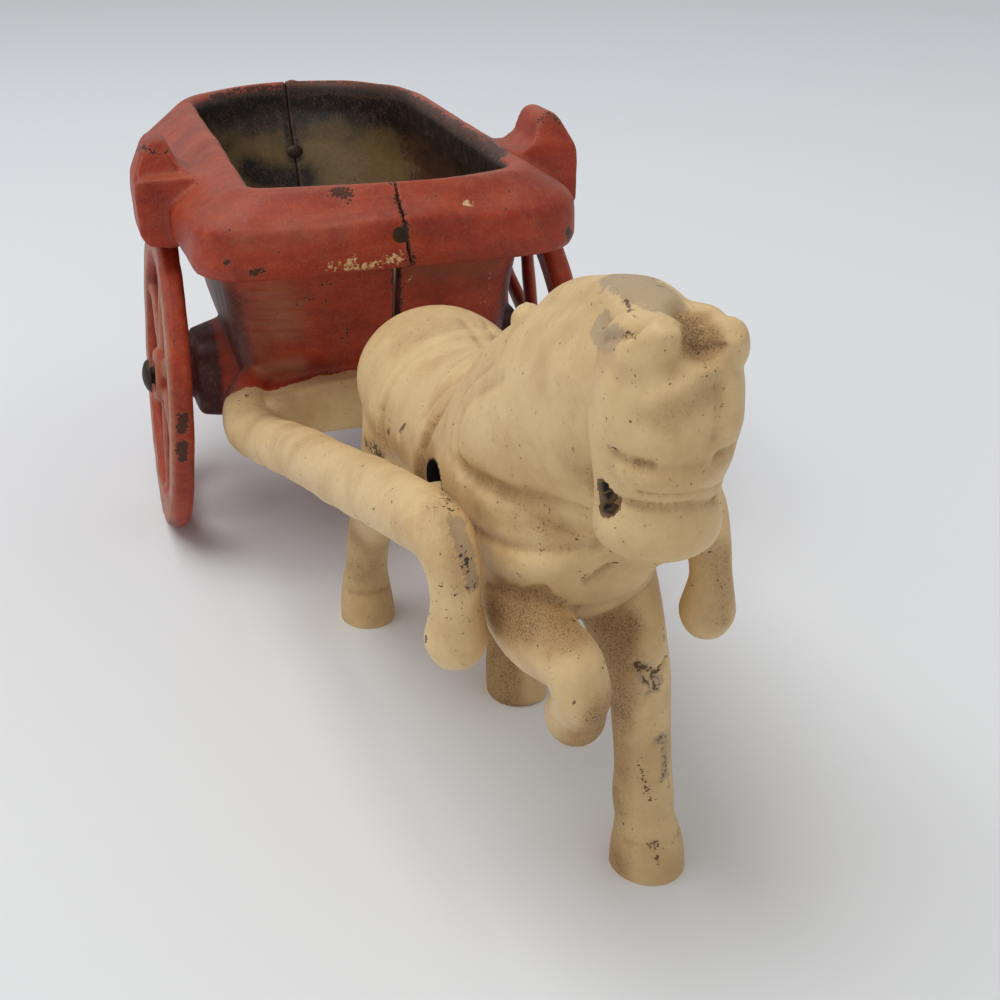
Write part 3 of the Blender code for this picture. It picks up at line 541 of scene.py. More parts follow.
def half_outline(back, front, half, front_radius, back_radius):
    """Half a rounded plan outline, from the middle of the front to the middle of the back."""
    points = []
    for k in range(12):
        points.append((front, (half - front_radius) * k / 12))
    for k in range(9):
        turn = math.pi / 2 * k / 8
        across = half - front_radius + front_radius * math.sin(turn)
        points.append((front - front_radius + front_radius * math.cos(turn), across))
    side_start = front - front_radius
    side_end = back + back_radius
    for k in range(1, 30):
        points.append((side_start + (side_end - side_start) * k / 30, half))
    for k in range(13):
        turn = math.pi / 2 * k / 12
        across = half - back_radius + back_radius * math.cos(turn)
        points.append((back + back_radius - back_radius * math.sin(turn), across))
    for k in range(1, 12):
        points.append((back, (half - back_radius) * (1 - k / 12)))
    points.append((back, 0.0))
    return points


def plan_ring(side_z, front_z, back, front, half, flare, extra_radius):
    """One level of the cart: a bowed plan outline whose front edge can dip and flare."""
    halves = []
    for radius in (BACK_RADIUS_RIGHT, BACK_RADIUS_LEFT):
        outline = half_outline(back, front, half, FRONT_RADIUS + extra_radius * 0.5,
                               radius + extra_radius)
        halves.append(outline)
    right = [(x, -y) for x, y in halves[0]]
    left = [(x, y) for x, y in reversed(halves[1][1:-1])]
    ring = []
    for x, y in right + left:
        ahead = ease(FLARE_START, front - FRONT_RADIUS, x)
        y *= 1 + flare / half * ahead
        crown = 1 - (y / (half + flare)) ** 2
        bow = FRONT_BOW * ease(0, front, x) - BACK_BOW * ease(0, back, x)
        level = side_z + (front_z - side_z) * ahead
        if flare:
            level += ahead * (LIP_CROWN_LIFT * crown + LIP_CORNER_LIFT * (1 - crown) ** 2)
        ring.append(Vector((x + bow * crown, y, level)))
    return ring


def tub(bm, sizes):
    """The open tub: outer wall, rolled lip and rim, inner wall and floor in one skin."""
    thick = sizes.wall / MM
    half = BODY_WIDTH / 2
    mouth = sizes.opening_width / MM / 2
    rim_half = mouth + RIM_BAND_SIDE
    rim_back = OPENING_BACK - RIM_BAND_BACK
    lip_front = OPENING_FRONT + sizes.lip_reach / MM
    floor = BODY_Z + thick
    top = RIM_Z - WALL_TOP_DROP
    flare = LIP_FLARE
    # Height at the sides and in front, back, front, half width, flare, extra corner radius
    levels = [
        (BODY_Z, BODY_Z, BODY_BACK + 17, BODY_FRONT - 5, half - 5, 0, 3),
        (BODY_Z + 1.2, BODY_Z + 1.2, BODY_BACK + 12, BODY_FRONT - 3, half - 2.4, 0, 4),
        (BODY_Z + 7, BODY_Z + 7, BODY_BACK + 4, BODY_FRONT - 1.6, half - 0.9, 0, 4),
        (BODY_Z + 15, BODY_Z + 15, BODY_BACK, BODY_FRONT, half, 0, 4),
        (top, LIP_Z - 0.3, BODY_BACK - BODY_LEAN, BODY_FRONT + 2.4, half + 0.8, 0, 4),
        (RIM_Z - 10.8, LIP_Z + 0.1, rim_back + 2.4, lip_front - 7, half + 2.6, flare * 0.5, 5),
        (RIM_Z - 10.5, LIP_Z + 0.1, rim_back + 1.2, lip_front - 1.7, rim_half - 1.8, flare, 6),
        (RIM_Z - 10.0, LIP_Z + 0.8, rim_back + 0.3, lip_front - 0.5, rim_half - 0.5, flare, 6.4),
        (RIM_Z - 9.0, LIP_Z + 2.2, rim_back, lip_front, rim_half, flare, 6.5),
        (RIM_Z - 6.9, LIP_Z + 5.4, rim_back, lip_front, rim_half, flare, 6.5),
        (RIM_Z - 5.9, LIP_Z + 7.2, rim_back + 0.3, lip_front - 0.2, rim_half - 0.3,
         flare * 0.9, 6.2),
        (RIM_Z - 5.2, LIP_Z + 8.4, rim_back + 0.9, lip_front - 1.1, rim_half - 1.1,
         flare * 0.8, 6),
        (RIM_Z - 0.6, RIM_Z - 1.6, OPENING_BACK - 3.1, OPENING_FRONT + 2.7, mouth + 3.1,
         flare * 0.1, 2.5),
        (RIM_Z, RIM_Z - 0.8, OPENING_BACK - 1.8, OPENING_FRONT + 1.5, mouth + 1.8, 0, 1.6),
        (RIM_Z - 0.3, RIM_Z - 0.9, OPENING_BACK - 0.7, OPENING_FRONT + 0.6, mouth + 0.7, 0, 0.6),
        (RIM_Z - 1.7, RIM_Z - 1.7, OPENING_BACK, OPENING_FRONT, mouth, 0, 0),
        (RIM_Z - 5.5, RIM_Z - 5.5, OPENING_BACK + 0.7, OPENING_FRONT - 1.8, mouth, 0, 0),
        (top, top, BODY_BACK - BODY_LEAN + thick, BODY_FRONT + 2.4 - thick,
         half + 0.8 - thick, 0, 1),
        (BODY_Z + 15, BODY_Z + 15, BODY_BACK + thick, BODY_FRONT - thick, half - thick, 0, 1),
        (BODY_Z + 7, BODY_Z + 7, BODY_BACK + 4 + thick, BODY_FRONT - 1.6 - thick,
         half - 0.9 - thick, 0, 1),
        (floor + 0.8, floor + 0.8, BODY_BACK + 12 + thick, BODY_FRONT - 3 - thick,
         half - 2.4 - thick, 0, 1),
        (floor, floor, BODY_BACK + 14 + thick, BODY_FRONT - 4 - thick, half - 3.6 - thick, 0, 1),
    ]
    bridge(bm, [plan_ring(*level) for level in levels])


def arm(bm, side, sizes):
    """The arm that reaches out over a wheel and ends in a peaked knob."""
    outer = WHEEL_OUTER + ARM_OVERHANG
    foot = WHEEL_DIAMETER + ARM_WHEEL_GAP
    peak = AXLE_HEIGHT + ARM_PEAK_RISE
    inner = sizes.opening_width / MM / 2 + RIM_BAND_SIDE - 6.4
    shoulder = RIM_Z - 1.0
    ledge = ARM_LEDGE if side == RIGHT else 0.0
    block = [
        (inner, foot + 0.6), (outer - 4.5, foot), (outer - 1.3, foot + 0.4),
        (outer - 0.2, foot + 2.0), (outer, shoulder - 3.0), (outer - 0.2, shoulder - 1.2),
        (outer - 1.0, shoulder - 0.6), (inner, shoulder - 0.6),
    ]
    knob = [
        (outer - 9.0, shoulder - 6.0), (outer - 0.2, shoulder - 6.0),
        (outer - 0.2, shoulder - 1.0), (outer - 0.6, shoulder), (outer - 2.2, peak - 1.0),
        (outer - 3.2, peak), (outer - 5.0, peak), (outer - 5.9, peak - 1.0),
        (outer - 7.0, shoulder + 0.6), (outer - 8.6, shoulder - 0.4),
    ]
    for outline, front in ((block, ARM_FRONT), (knob, ARM_FRONT - ledge)):
        shape = bmesh.new()
        prism(shape, [(side * y, z) for y, z in outline], front, ARM_FRONT - ARM_LENGTH, 0.4)
        for vert in shape.verts:
            if vert.co.x > ARM_FRONT - ARM_LENGTH / 2:
                vert.co.x -= max(vert.co.z - shoulder, 0) * ARM_KNOB_SET_BACK
                if vert.co.z < foot + 2.6:
                    vert.co.z -= ARM_DIP
        join(bm, shape)


def join(bm, shape):
    """Add a finished shape to the others that will be melted together."""
    mesh = mesh_from("shape", shape)
    bm.from_mesh(mesh)
    bpy.data.meshes.remove(mesh)


def axle_boss(bm, side, end):
    """The bracket on the side wall, tall at the wall and round at the wheel."""
    wall = BODY_WIDTH / 2 - 1.8
    tube = AXLE_DIAMETER / 2 + 2.7
    face = end - 1.2
    rows = [
        (wall, 8.5, 7.4, 0.6), (wall + 3.0, 7.6, 7.1, 0.1), (face - 1.4, 6.6, 6.8, -0.1),
        (face - 0.5, 6.1, 6.6, -0.1), (face, 5.2, 5.8, -0.1), (face + 0.1, tube, tube, 0.0),
        (end, tube, tube, 0.0),
    ]
    rings = []
    for y, half_x, half_z, rise in rows:
        squareness = BRACKET_SQUARENESS if half_x > tube else 1.0
        ring = []
        for k in range(40):
            turn = math.tau * k / 40
            x = half_x * rounded(math.cos(turn), squareness)
            z = AXLE_HEIGHT + rise + half_z * rounded(math.sin(turn), squareness)
            ring.append(Vector((x, side * y, z)))
        rings.append(ring)
    bridge(bm, rings)


def crossbar(bm):
    """The bar under the front wall, thicker in the middle."""
    front = BODY_FRONT - 1 + CROSSBAR_DEPTH
    back = BODY_FRONT - 4
    end = SHAFT_ROOT_Y - 3.0
    rings = []
    for y, drop in ((-end, 2.0), (-10.0, 0.4), (0.0, 0.0), (10.0, 0.4), (end, 2.0)):
        top = CROSSBAR_Z + CROSSBAR_HEIGHT - drop
        outline = [
            (back, CROSSBAR_Z), (front - 1.5, CROSSBAR_Z), (front, CROSSBAR_Z + 1.5),
            (front, top - 1.5), (front - 1.5, top), (back, top),
        ]
        rings.append([Vector((x, y, z)) for x, z in outline])
    bridge(bm, rings)


def shaft(bm, side, sizes):
    """One shaft, from the cart's corner to its drooping ball end."""
    thick = sizes.shaft_diameter / MM / 2
    base = thick + 0.1
    thin = thick - 1.0
    ball = thick - 0.2
    root = BODY_FRONT - 1.5
    low = AXLE_HEIGHT
    run = PEG_FORWARD - root
    peg_y = shaft_peg_y(sizes)
    spread_out = SHAFT_ROOT_Y - peg_y
    nose = PEG_FORWARD + SHAFT_NOSE
    crest = PEG_HEIGHT + SHAFT_CREST
    tip_y = peg_y - SHAFT_TOE_IN
    sag = LEFT_TIP_DROP if side == LEFT else 0.0
    slim = LEFT_TIP_SLIM if side == LEFT else RIGHT_TIP_SLIM
    rows = [
        (root - 2.5, SHAFT_ROOT_Y - 3.0, low + 3.0, base - 0.8, base - 0.8),
        (root + 1.5, SHAFT_ROOT_Y - 0.8, low + 0.9, base, base),
        (root + 6.5, SHAFT_ROOT_Y, low - 1.3, base + 0.2, base + 0.2),
        (root + 14.0, SHAFT_ROOT_Y - 1.0, low - 0.6, base, base),
        (root + run * 0.32, SHAFT_ROOT_Y - spread_out * 0.30, low + 2.6, thick, thick),
        (root + run * 0.55, SHAFT_ROOT_Y - spread_out * 0.55, low + 7.4, thick, thick),
        (root + run * 0.78, SHAFT_ROOT_Y - spread_out * 0.79, low + 11.8, thick, thick),
        (PEG_FORWARD, peg_y, PEG_HEIGHT, thick, thick),
        (nose - 6.0, tip_y + 0.5, crest, thick - 0.1, thick - 0.1),
        (nose - 1.8, tip_y, crest - 1.6, thick - 0.6, thick - 0.6),
        (nose - 0.5, tip_y, crest - 5.0, thin, thin),
        (nose - 0.6, tip_y, crest - 7.8, ball - 0.3, ball - 0.3),
        (nose - 0.9, tip_y, crest - SHAFT_DROOP, ball, ball),
        (nose - 1.0, tip_y, crest - SHAFT_DROOP - 2.0, ball * 0.72, ball * 0.72),
        (nose - 1.0, tip_y, crest - SHAFT_DROOP - 2.9, ball * 0.3, ball * 0.3),
    ]
    ends = []
    for x, y, z, across, depth in rows:
        near_end = ease(PEG_FORWARD, nose - 2, x)
        thinner = 1 - slim * near_end
        ends.append((x, side * y, z - sag * near_end, across * thinner, depth * thinner))
    sweep(bm, ends)
    peg = (PEG_FORWARD, side * peg_y, PEG_HEIGHT)
    end = (PEG_FORWARD, side * (PEG_HOLE_FLOOR + PEG_END_GAP), PEG_HEIGHT)
    length = peg_y - PEG_HOLE_FLOOR - PEG_END_GAP
    radius = PEG_DIAMETER / 2
    turned(bm, peg, end, [(0.0, radius), (length - 0.5, radius), (length, radius - 0.4)], sides=20)


def shaft_peg_y(sizes):
    """How far from the seam a shaft's middle lies beside the horse."""
    return sizes.barrel_width / MM / 2 + SHAFT_SIDE_GAP + sizes.shaft_diameter / MM / 2


# Strokes on the cart are measured from the axle, the seam and the floor
CART_STROKES = (
    # Dents in the lip and the rim
    Stroke(5.0, -0.35, ((36.0, -16.0, 57.0), (37.0, -8.0, 57.0))),
    Stroke(4.0, 0.3, ((35.5, -21.0, 56.0), (33.0, -25.0, 55.5))),
    Stroke(3.0, -0.3, ((36.5, 10.0, 57.5), (35.0, 16.0, 57.5))),
    Stroke(3.0, 0.3, ((37.0, 5.0, 56.0), (38.0, -3.0, 56.0))),
    Stroke(5.0, -0.4, ((-10.0, -26.0, 57.5), (-24.0, -25.0, 57.5))),
    Stroke(5.0, -0.4, ((-14.0, 26.0, 57.5), (-30.0, 24.0, 57.5))),
    # Step in the rim where the halves meet at the back
    Stroke(1.4, 0.35, ((-58.5, 1.4, 60.4), (-60.5, 1.4, 58.5))),
    # Level strokes that a brush left in the front wall
    Stroke(0.8, -0.3, ((21.1, -20.0, 43.5), (23.2, -10.0, 43.3))),
    Stroke(0.8, -0.35, ((20.7, -19.4, 41.6), (22.6, -10.0, 41.3))),
    Stroke(0.8, -0.3, ((20.1, -19.4, 39.9), (22.2, -9.5, 39.6))),
    Stroke(0.8, -0.35, ((19.6, -19.5, 38.2), (21.7, -10.5, 38.0))),
    Stroke(0.8, -0.3, ((19.5, -18.9, 36.5), (21.0, -12.3, 36.3))),
    # Worn hollow on the right shaft's tip
    Stroke(1.8, -0.35, ((114.0, -12.8, 45.6), (117.0, -12.5, 43.0), (118.0, -12.3, 40.5))),
)
CART_BARE = (
    # Opening's edge, along the back and the left side
    Stroke(1.9, 0.6, ((-49.7, -14.4, 60.9), (-54.5, -7.3, 61.0), (-56.2, 0.0, 61.0))),
    Stroke(2.6, 0.8, ((-56.2, 0.0, 61.0), (-52.9, 9.7, 61.0), (-43.0, 17.0, 61.0))),
    Stroke(2.0, 0.75, ((-43.0, 17.6, 61.0), (-20.0, 19.0, 61.0), (2.0, 19.0, 61.0),
                      (22.0, 19.0, 60.8))),
    Stroke(2.4, 0.7, ((10.0, 20.4, 61.0), (21.0, 20.2, 60.6))),
    # Lip
    Stroke(1.5, 0.9, ((34.7, 25.7, 51.6), (34.2, 26.2, 50.3))),
    Stroke(0.8, 0.7, ((35.9, -23.6, 52.2), (35.8, -23.8, 52.0))),
    Stroke(1.1, 0.6, ((36.9, -19.2, 50.9), (36.5, -20.4, 50.7))),
    Stroke(1.9, 0.5, ((34.4, -8.2, 60.2), (34.9, -6.4, 59.8))),
    Stroke(1.1, 0.6, ((38.4, 1.0, 52.4), (38.2, 1.1, 51.0))),
    # Knobs
    Stroke(0.9, 0.5, ((5.2, -32.6, 62.0), (13.0, -30.9, 63.9), (13.3, -28.8, 63.5))),
    Stroke(0.9, 0.45, ((13.0, 28.7, 63.8), (12.7, 30.3, 64.3), (13.3, 31.6, 63.2))),
    # Right shaft's end
    Stroke(1.0, 0.3, ((115.7, -12.6, 44.5), (117.2, -12.3, 42.6), (117.8, -12.0, 40.7))),
    Stroke(0.6, 1.0, ((115.0, -16.5, 34.9), (115.0, -16.5, 34.5))),
    Stroke(1.6, 0.35, ((108.0, -12.0, 46.6), (112.0, -12.6, 47.2))),
)
CART_CREAM = (
    Stroke(1.1, 0.5, ((38.3, -0.4, 52.2), (38.0, 0.2, 50.8))),
    Stroke(2.2, 0.50, ((38.5, -0.6, 51.2), (37.7, -4.4, 50.3), (37.9, -7.9, 50.6))),
    Stroke(1.9, 0.44, ((38.0, -6.6, 51.6), (37.4, -10.5, 50.6))),
    Stroke(1.3, 0.55, ((36.5, 10.9, 57.5), (36.4, 9.8, 57.3))),
    Stroke(2.6, 0.35, ((23.3, 4.2, 44.0), (22.6, 4.0, 38.0))),
    Stroke(3.0, 0.30, ((21.0, 17.0, 44.0), (20.6, 17.6, 37.0))),
)
CART_GREY = (
    Stroke(1.8, 0.75, ((113.6, -12.4, 46.2), (115.7, -12.2, 44.5), (117.2, -11.9, 42.6),
                      (117.8, -11.7, 40.7))),
)
# Dusty, faded patches on the front wall and the crossbar, and a painted highlight on the lip
CART_DUST_AND_SHEEN = (
    Stroke(8.0, 0.28, ((21.3, -17.9, 42.1), (18.1, -19.7, 33.5))),
    Stroke(5.5, 0.6, ((21.4, -15.5, 42.5), (20.8, -14.5, 37.5))),
    Stroke(2.4, 0.9, ((18.1, -18.2, 29.8), (19.0, -15.5, 30.6), (19.6, -12.8, 30.8))),
    # Painted highlight along the lip's rolled band
    Stroke(3.6, 0.28, ((36.0, -21.0, 55.7), (37.0, -13.6, 56.2), (37.3, -6.7, 57.1))),
)
# Painted shade inside the tub: down the back seam, which is also a dark joint, and low on the left
# of the back wall
CART_DEEP_SHADE = (
    Stroke(2.6, 1.3, ((-56.0, -0.5, 57.3), (-54.0, -0.2, 52.8), (-51.5, -0.1, 47.6))),
    Stroke(5.0, 1.2, ((-48.5, -9.3, 46.8), (-49.1, -3.6, 44.5), (-49.3, 1.2, 44.4))),
)
CART_GRIME = (
    Stroke(2.4, 0.5, ((22.1, -22.8, 28.8), (22.6, -20.8, 28.4), (23.5, -17.9, 27.9),
                      (25.2, -15.2, 27.6))),
    Stroke(4.6, 0.7, ((24.3, 5.9, 45.3), (23.6, 10.7, 44.9), (22.0, 17.4, 44.5))),
    Stroke(3.4, 0.7, ((117.8, 13.0, 39.9), (118.3, 13.6, 36.7), (117.9, 13.1, 32.6))),
    Stroke(2.6, 0.5, ((112.0, -14.0, 46.9), (115.5, -13.4, 44.6), (117.5, -13.2, 41.0))),
)


def seam_drift(points):
    """How far in front the seam wanders from the middle to the left."""
    x, _, z = points.T
    return ease(8.0, 22.0, x) * np.interp(z, (30.0, 46.0, 53.0, 61.0), (2.5, 2.3, 0.9, 0.3))


def inside_tub(points, normals, sizes):
    """Which points face into the tub from its walls or its floor."""
    x, y, z = points.T
    thick = sizes.wall / MM
    ahead = np.clip(x, BODY_BACK * 0.6, BODY_FRONT * 0.6)
    middle = np.column_stack((ahead, y * 0.0, z * 0.0 + TUB_MIDDLE_Z))
    inward = ((middle - points) * normals).sum(axis=1) > 0
    # Low down the limit lies further back, so that the crossbar stays outside
    front = np.where(z < CROSSBAR_CLEAR_Z, BODY_FRONT - 2.0, BODY_FRONT + 9.0)
    within = (np.abs(y) < BODY_WIDTH / 2 - thick / 2) & (x < front)
    within &= x > OPENING_BACK - BACK_BOW - 2
    return inward & within & (z > BODY_Z + thick - 0.6) & (z < RIM_Z - 1.0)


def cream_in_front(points, waver, edges):
    """Cream on the crossbar up to a wavering line, and all over the shafts further along."""
    x, _, z = points.T
    top = CREAM_TOP + CREAM_RISE * ease(26.0, 40.0, x)
    cream = ease(*CREAM_START, x + 0.7 * waver) * ease(top + 1.2, top - 0.6, z)
    return spread(np.maximum(cream, ease(*ALL_CREAM, x)), edges, 1)


def seam_line(points, waver, inner):
    """Bare iron along the seam, fainter inside the tub."""
    _, y, z = points.T
    across = (y - seam_drift(points) + 0.15 * waver) / SEAM_LINE_WIDTH
    return np.clip(1.1 - across ** 2, 0.0, 1.0) * (z > SEAM_LINE_LOW) * np.where(inner, 0.35, 0.5)


def wheel_shade(points, normals, edges):
    """Painted shade: the side walls and brackets behind the wheels, darkened where they lie in
    shadow.
    """
    x, y, z = points.T
    outer = ease(BODY_WIDTH / 2 - 7.0, BODY_WIDTH / 2 - 1.5, np.abs(y)) * ease(-34.0, -10.0, x)
    walls = ease(0.3, 0.85, np.abs(normals[:, 1])) * ease(LIP_Z - 1, LIP_Z - 6, z) * (x < 24)
    brackets = (np.abs(y) > BODY_WIDTH / 2 + 0.8) & (x < 15) & (z < BODY_Z + 15)
    return spread(np.maximum(walls * outer * 0.85, brackets * 0.95), edges, 3)


def cart_marks(mesh, sizes):
    """Where the cart's paint is worn, dirty or cream, where shade and sheen are painted on it, and
    what lies inside the tub.
    """
    points = points_of(mesh)
    normals = normals_of(mesh)
    edges = edges_of(mesh)
    x, y, z = points.T
    waver = lumps(points, 5.0, 5)
    inner = inside_tub(points, normals, sizes)
    cream = cream_in_front(points, waver, edges)
    seam = seam_line(points, waver, inner)
    # Dust and painted sheen on the upward faces above the lip
    dust_and_sheen = 0.22 * ease(0.45, 0.95, normals[:, 2]) * (z > LIP_Z)
    # Painted shade inside the tub, darker towards the rim
    deep_shade = ease(RIM_Z - 13.0, RIM_Z - 5.0, z + 1.5 * waver)
    mark_relief(mesh, 14, 0.5, (0.25, 1.0), 1.6)
    set_marks(mesh, "inner", spread(inner.astype(float), edges, 2))
    set_marks(mesh, "cream", np.maximum(cream, stained(mesh, CART_CREAM)))
    set_marks(mesh, "bare_and_hole_shade", np.maximum(stained(mesh, CART_BARE), seam))
    set_marks(mesh, "grime_and_shade", stained(mesh, CART_GRIME))
    set_marks(mesh, "grey", stained(mesh, CART_GREY))
    set_marks(mesh, "deep_shade", np.maximum(deep_shade, stained(mesh, CART_DEEP_SHADE)))
    set_marks(mesh, "olive", ease(-20.0, -34.0, x + 3.0 * waver) * ease(21.0, 16.0, y + waver))
    set_marks(mesh, "dust_and_sheen", np.maximum(dust_and_sheen, stained(mesh, CART_DUST_AND_SHEEN)))
    # Painted shade behind the wheels
    set_marks(mesh, "shade", wheel_shade(points, normals, edges))


def barrel_and_neck(bm, sizes):
    """Barrel and neck, through stations of x, z, half width and half depth from the pegs."""
    broad = sizes.barrel_width / MM / BARREL_WIDTH
    barrel = [
        (-50.0, -0.6, 4.0, 3.6), (-48.0, -1.2, 7.2, 6.4), (-44.0, -1.7, 9.9, 8.9),
        (-37.0, -1.8, 10.8, 9.9), (-28.0, -1.5, 10.6, 9.7), (-18.0, -0.6, 10.5, 10.2),
        (-8.0, 0.6, 10.5, 11.4), (2.0, 1.8, 10.2, 12.4), (10.0, 1.4, 9.6, 12.6),
        (16.0, 1.2, 8.8, 10.0), (20.5, 0.8, 7.4, 6.9), (23.2, 0.0, 4.8, 4.0),
    ]
    neck = [
        (0.0, 3.6, 9.8, 11.0), (8.0, 8.2, 9.4, 12.0), (16.0, 13.0, 8.4, 11.6),
        (23.0, 17.0, 7.4, 10.4), (29.0, 20.4, 6.6, 8.8), (35.0, 22.6, 5.5, 6.6),
    ]
    for table in (barrel, neck):
        rows = []
        for x, z, across, depth in table:
            rows.append((PEG_FORWARD + x, 0.0, PEG_HEIGHT + z, across * broad, depth))
        sweep(bm, rows, sides=40, steps=6)


def middle_limb(bm, table):
    """A limb on the middle seam, through stations of x, z, half width and half depth."""
    sweep(bm, [(PEG_FORWARD + x, 0.0, PEG_HEIGHT + z, across, depth)
               for x, z, across, depth in table])


def head(bm):
    """The head, hanging from the poll to the muzzle, with the nose band and lips."""
    middle_limb(bm, [
        (37.2, 30.0, 3.4, 3.0), (37.3, 28.4, 4.9, 4.8), (37.0, 26.0, 5.5, 6.0),
        (36.4, 22.4, 5.9, 6.6), (35.8, 19.4, 6.0, 6.6), (35.2, 17.0, 5.6, 6.2),
        (35.0, 14.8, 5.3, 5.8), (35.0, 13.0, 5.2, 5.7), (35.2, 11.0, 5.4, 5.8),
        (35.4, 9.4, 4.8, 5.0), (35.5, 8.3, 3.0, 3.2),
    ])


def mane(bm):
    """The raised crest of the neck, from the withers to the poll."""
    middle_limb(bm, [
        (3.0, 15.0, 2.6, 2.6), (8.0, 18.4, 3.0, 3.2), (14.0, 22.0, 3.2, 3.6),
        (21.0, 24.6, 3.2, 3.6), (28.0, 27.0, 3.2, 3.2), (33.6, 28.1, 3.0, 2.8),
        (36.8, 28.0, 2.5, 2.2), (39.4, 26.8, 1.6, 1.4),
    ])


def tail(bm):
    """The tail, lying close behind the rump."""
    middle_limb(bm, [
        (-46.5, 2.8, 2.2, 2.0), (-50.0, 1.6, 3.0, 2.6), (-52.0, -3.0, 3.4, 3.0),
        (-52.4, -10.0, 3.2, 2.8), (-51.6, -16.0, 2.4, 2.2), (-51.0, -19.0, 1.0, 1.0),
    ])


def limb(bm, side, table):
    sweep(bm, [(PEG_FORWARD + x, side * y, z, across, depth) for x, y, z, across, depth in table])


def legs(bm):
    """The four legs, through stations from the pegs and the floor."""
    limb(bm, RIGHT, [
        (7.0, 5.0, 40.0, 4.6, 6.2), (12.0, 5.5, 36.5, 4.4, 5.4), (18.0, 5.4, 34.6, 3.9, 4.8),
        (24.0, 5.3, 35.0, 3.2, 3.7), (28.2, 5.0, 35.6, 2.9, 3.2), (29.2, 4.5, 33.4, 2.8, 3.0),
        (27.4, 3.8, 31.0, 2.7, 2.8), (25.4, 3.4, 29.2, 2.8, 2.9), (23.8, 3.1, 27.4, 3.0, 3.2),
        (22.9, 2.8, 26.4, 3.0, 3.2),
    ])
    limb(bm, RIGHT, [
        (-38.0, 4.6, 41.0, 5.6, 8.0), (-36.0, 6.2, 32.0, 5.0, 7.2), (-39.5, 7.6, 25.0, 4.0, 5.2),
        (-46.0, 8.3, 18.4, 3.3, 4.0), (-49.4, 8.6, 13.6, 3.0, 3.3), (-51.2, 8.8, 8.6, 3.0, 3.2),
        (-52.0, 8.9, 5.6, 3.4, 3.8), (-52.2, 8.9, 2.6, 3.8, 4.6), (-52.0, 8.9, -1.2, 4.0, 5.0),
    ])
    limb(bm, LEFT, [
        (6.0, 4.8, 41.0, 4.8, 6.4), (10.6, 5.2, 35.5, 4.6, 5.6), (14.4, 5.8, 30.0, 3.9, 4.6),
        (15.8, 6.6, 25.6, 3.4, 3.7), (15.4, 7.1, 21.5, 3.2, 3.3), (14.6, 7.8, 14.0, 3.1, 3.1),
        (13.7, 8.3, 9.0, 3.4, 3.5), (13.8, 8.5, 6.0, 3.3, 3.6), (14.2, 8.7, 3.0, 3.9, 4.5),
        (14.4, 8.7, -1.2, 4.2, 4.8),
    ])
    limb(bm, LEFT, [
        (-38.0, 4.6, 41.0, 5.6, 8.0), (-32.0, 6.2, 32.0, 5.0, 7.2), (-31.0, 7.0, 25.0, 4.0, 5.2),
        (-34.0, 6.8, 18.6, 3.3, 4.0), (-32.4, 6.4, 13.4, 2.9, 3.3), (-29.2, 6.0, 8.4, 2.9, 3.2),
        (-27.2, 5.8, 5.6, 3.4, 3.8), (-26.0, 5.7, 2.8, 3.8, 4.6), (-24.8, 5.7, -1.2, 4.0, 5.0),
    ])


def ears(bm):
    """Two blunt ears, the left one slimmer and further out."""
    limb(bm, RIGHT, [
        (36.8, 2.9, PEG_HEIGHT + 24.8, 2.7, 2.9), (39.0, 2.7, PEG_HEIGHT + 27.0, 2.5, 2.7),
        (40.6, 2.4, PEG_HEIGHT + 28.6, 2.0, 2.1), (41.4, 2.0, PEG_HEIGHT + 30.1, 1.1, 1.2),
    ])
    limb(bm, LEFT, [
        (36.8, 3.2, PEG_HEIGHT + 24.6, 2.4, 2.7), (38.8, 3.4, PEG_HEIGHT + 26.6, 2.1, 2.4),
        (40.4, 3.4, PEG_HEIGHT + 28.0, 1.8, 2.0), (41.2, 3.4, PEG_HEIGHT + 29.1, 1.3, 1.5),
    ])


def harness(bm, sizes):
    """The raised harness cast on the horse: saddle, girth and terret knob."""
    broad = sizes.barrel_width / MM / BARREL_WIDTH
    strap = 0.7
    for x, z, across, depth, width in (
        (-6.5, 0.8, 10.5, 11.6, 3.2), (-26.0, -1.4, 10.6, 9.7, 2.0),
    ):
        row = (0.0, PEG_HEIGHT + z, across * broad + strap, depth + strap)
        sweep(bm, [(PEG_FORWARD + x - width / 2, *row), (PEG_FORWARD + x + width / 2, *row)],
              sides=48, steps=1)
    limb(bm, LEFT, [
        (-1.0, 0.0, PEG_HEIGHT + 11.6, 1.8, 1.8), (-0.4, 0.0, PEG_HEIGHT + 15.6, 1.6, 1.6),
        (0.0, 0.0, PEG_HEIGHT + 18.2, 1.8, 1.8), (0.2, 0.0, PEG_HEIGHT + 19.6, 0.9, 0.9),
    ])


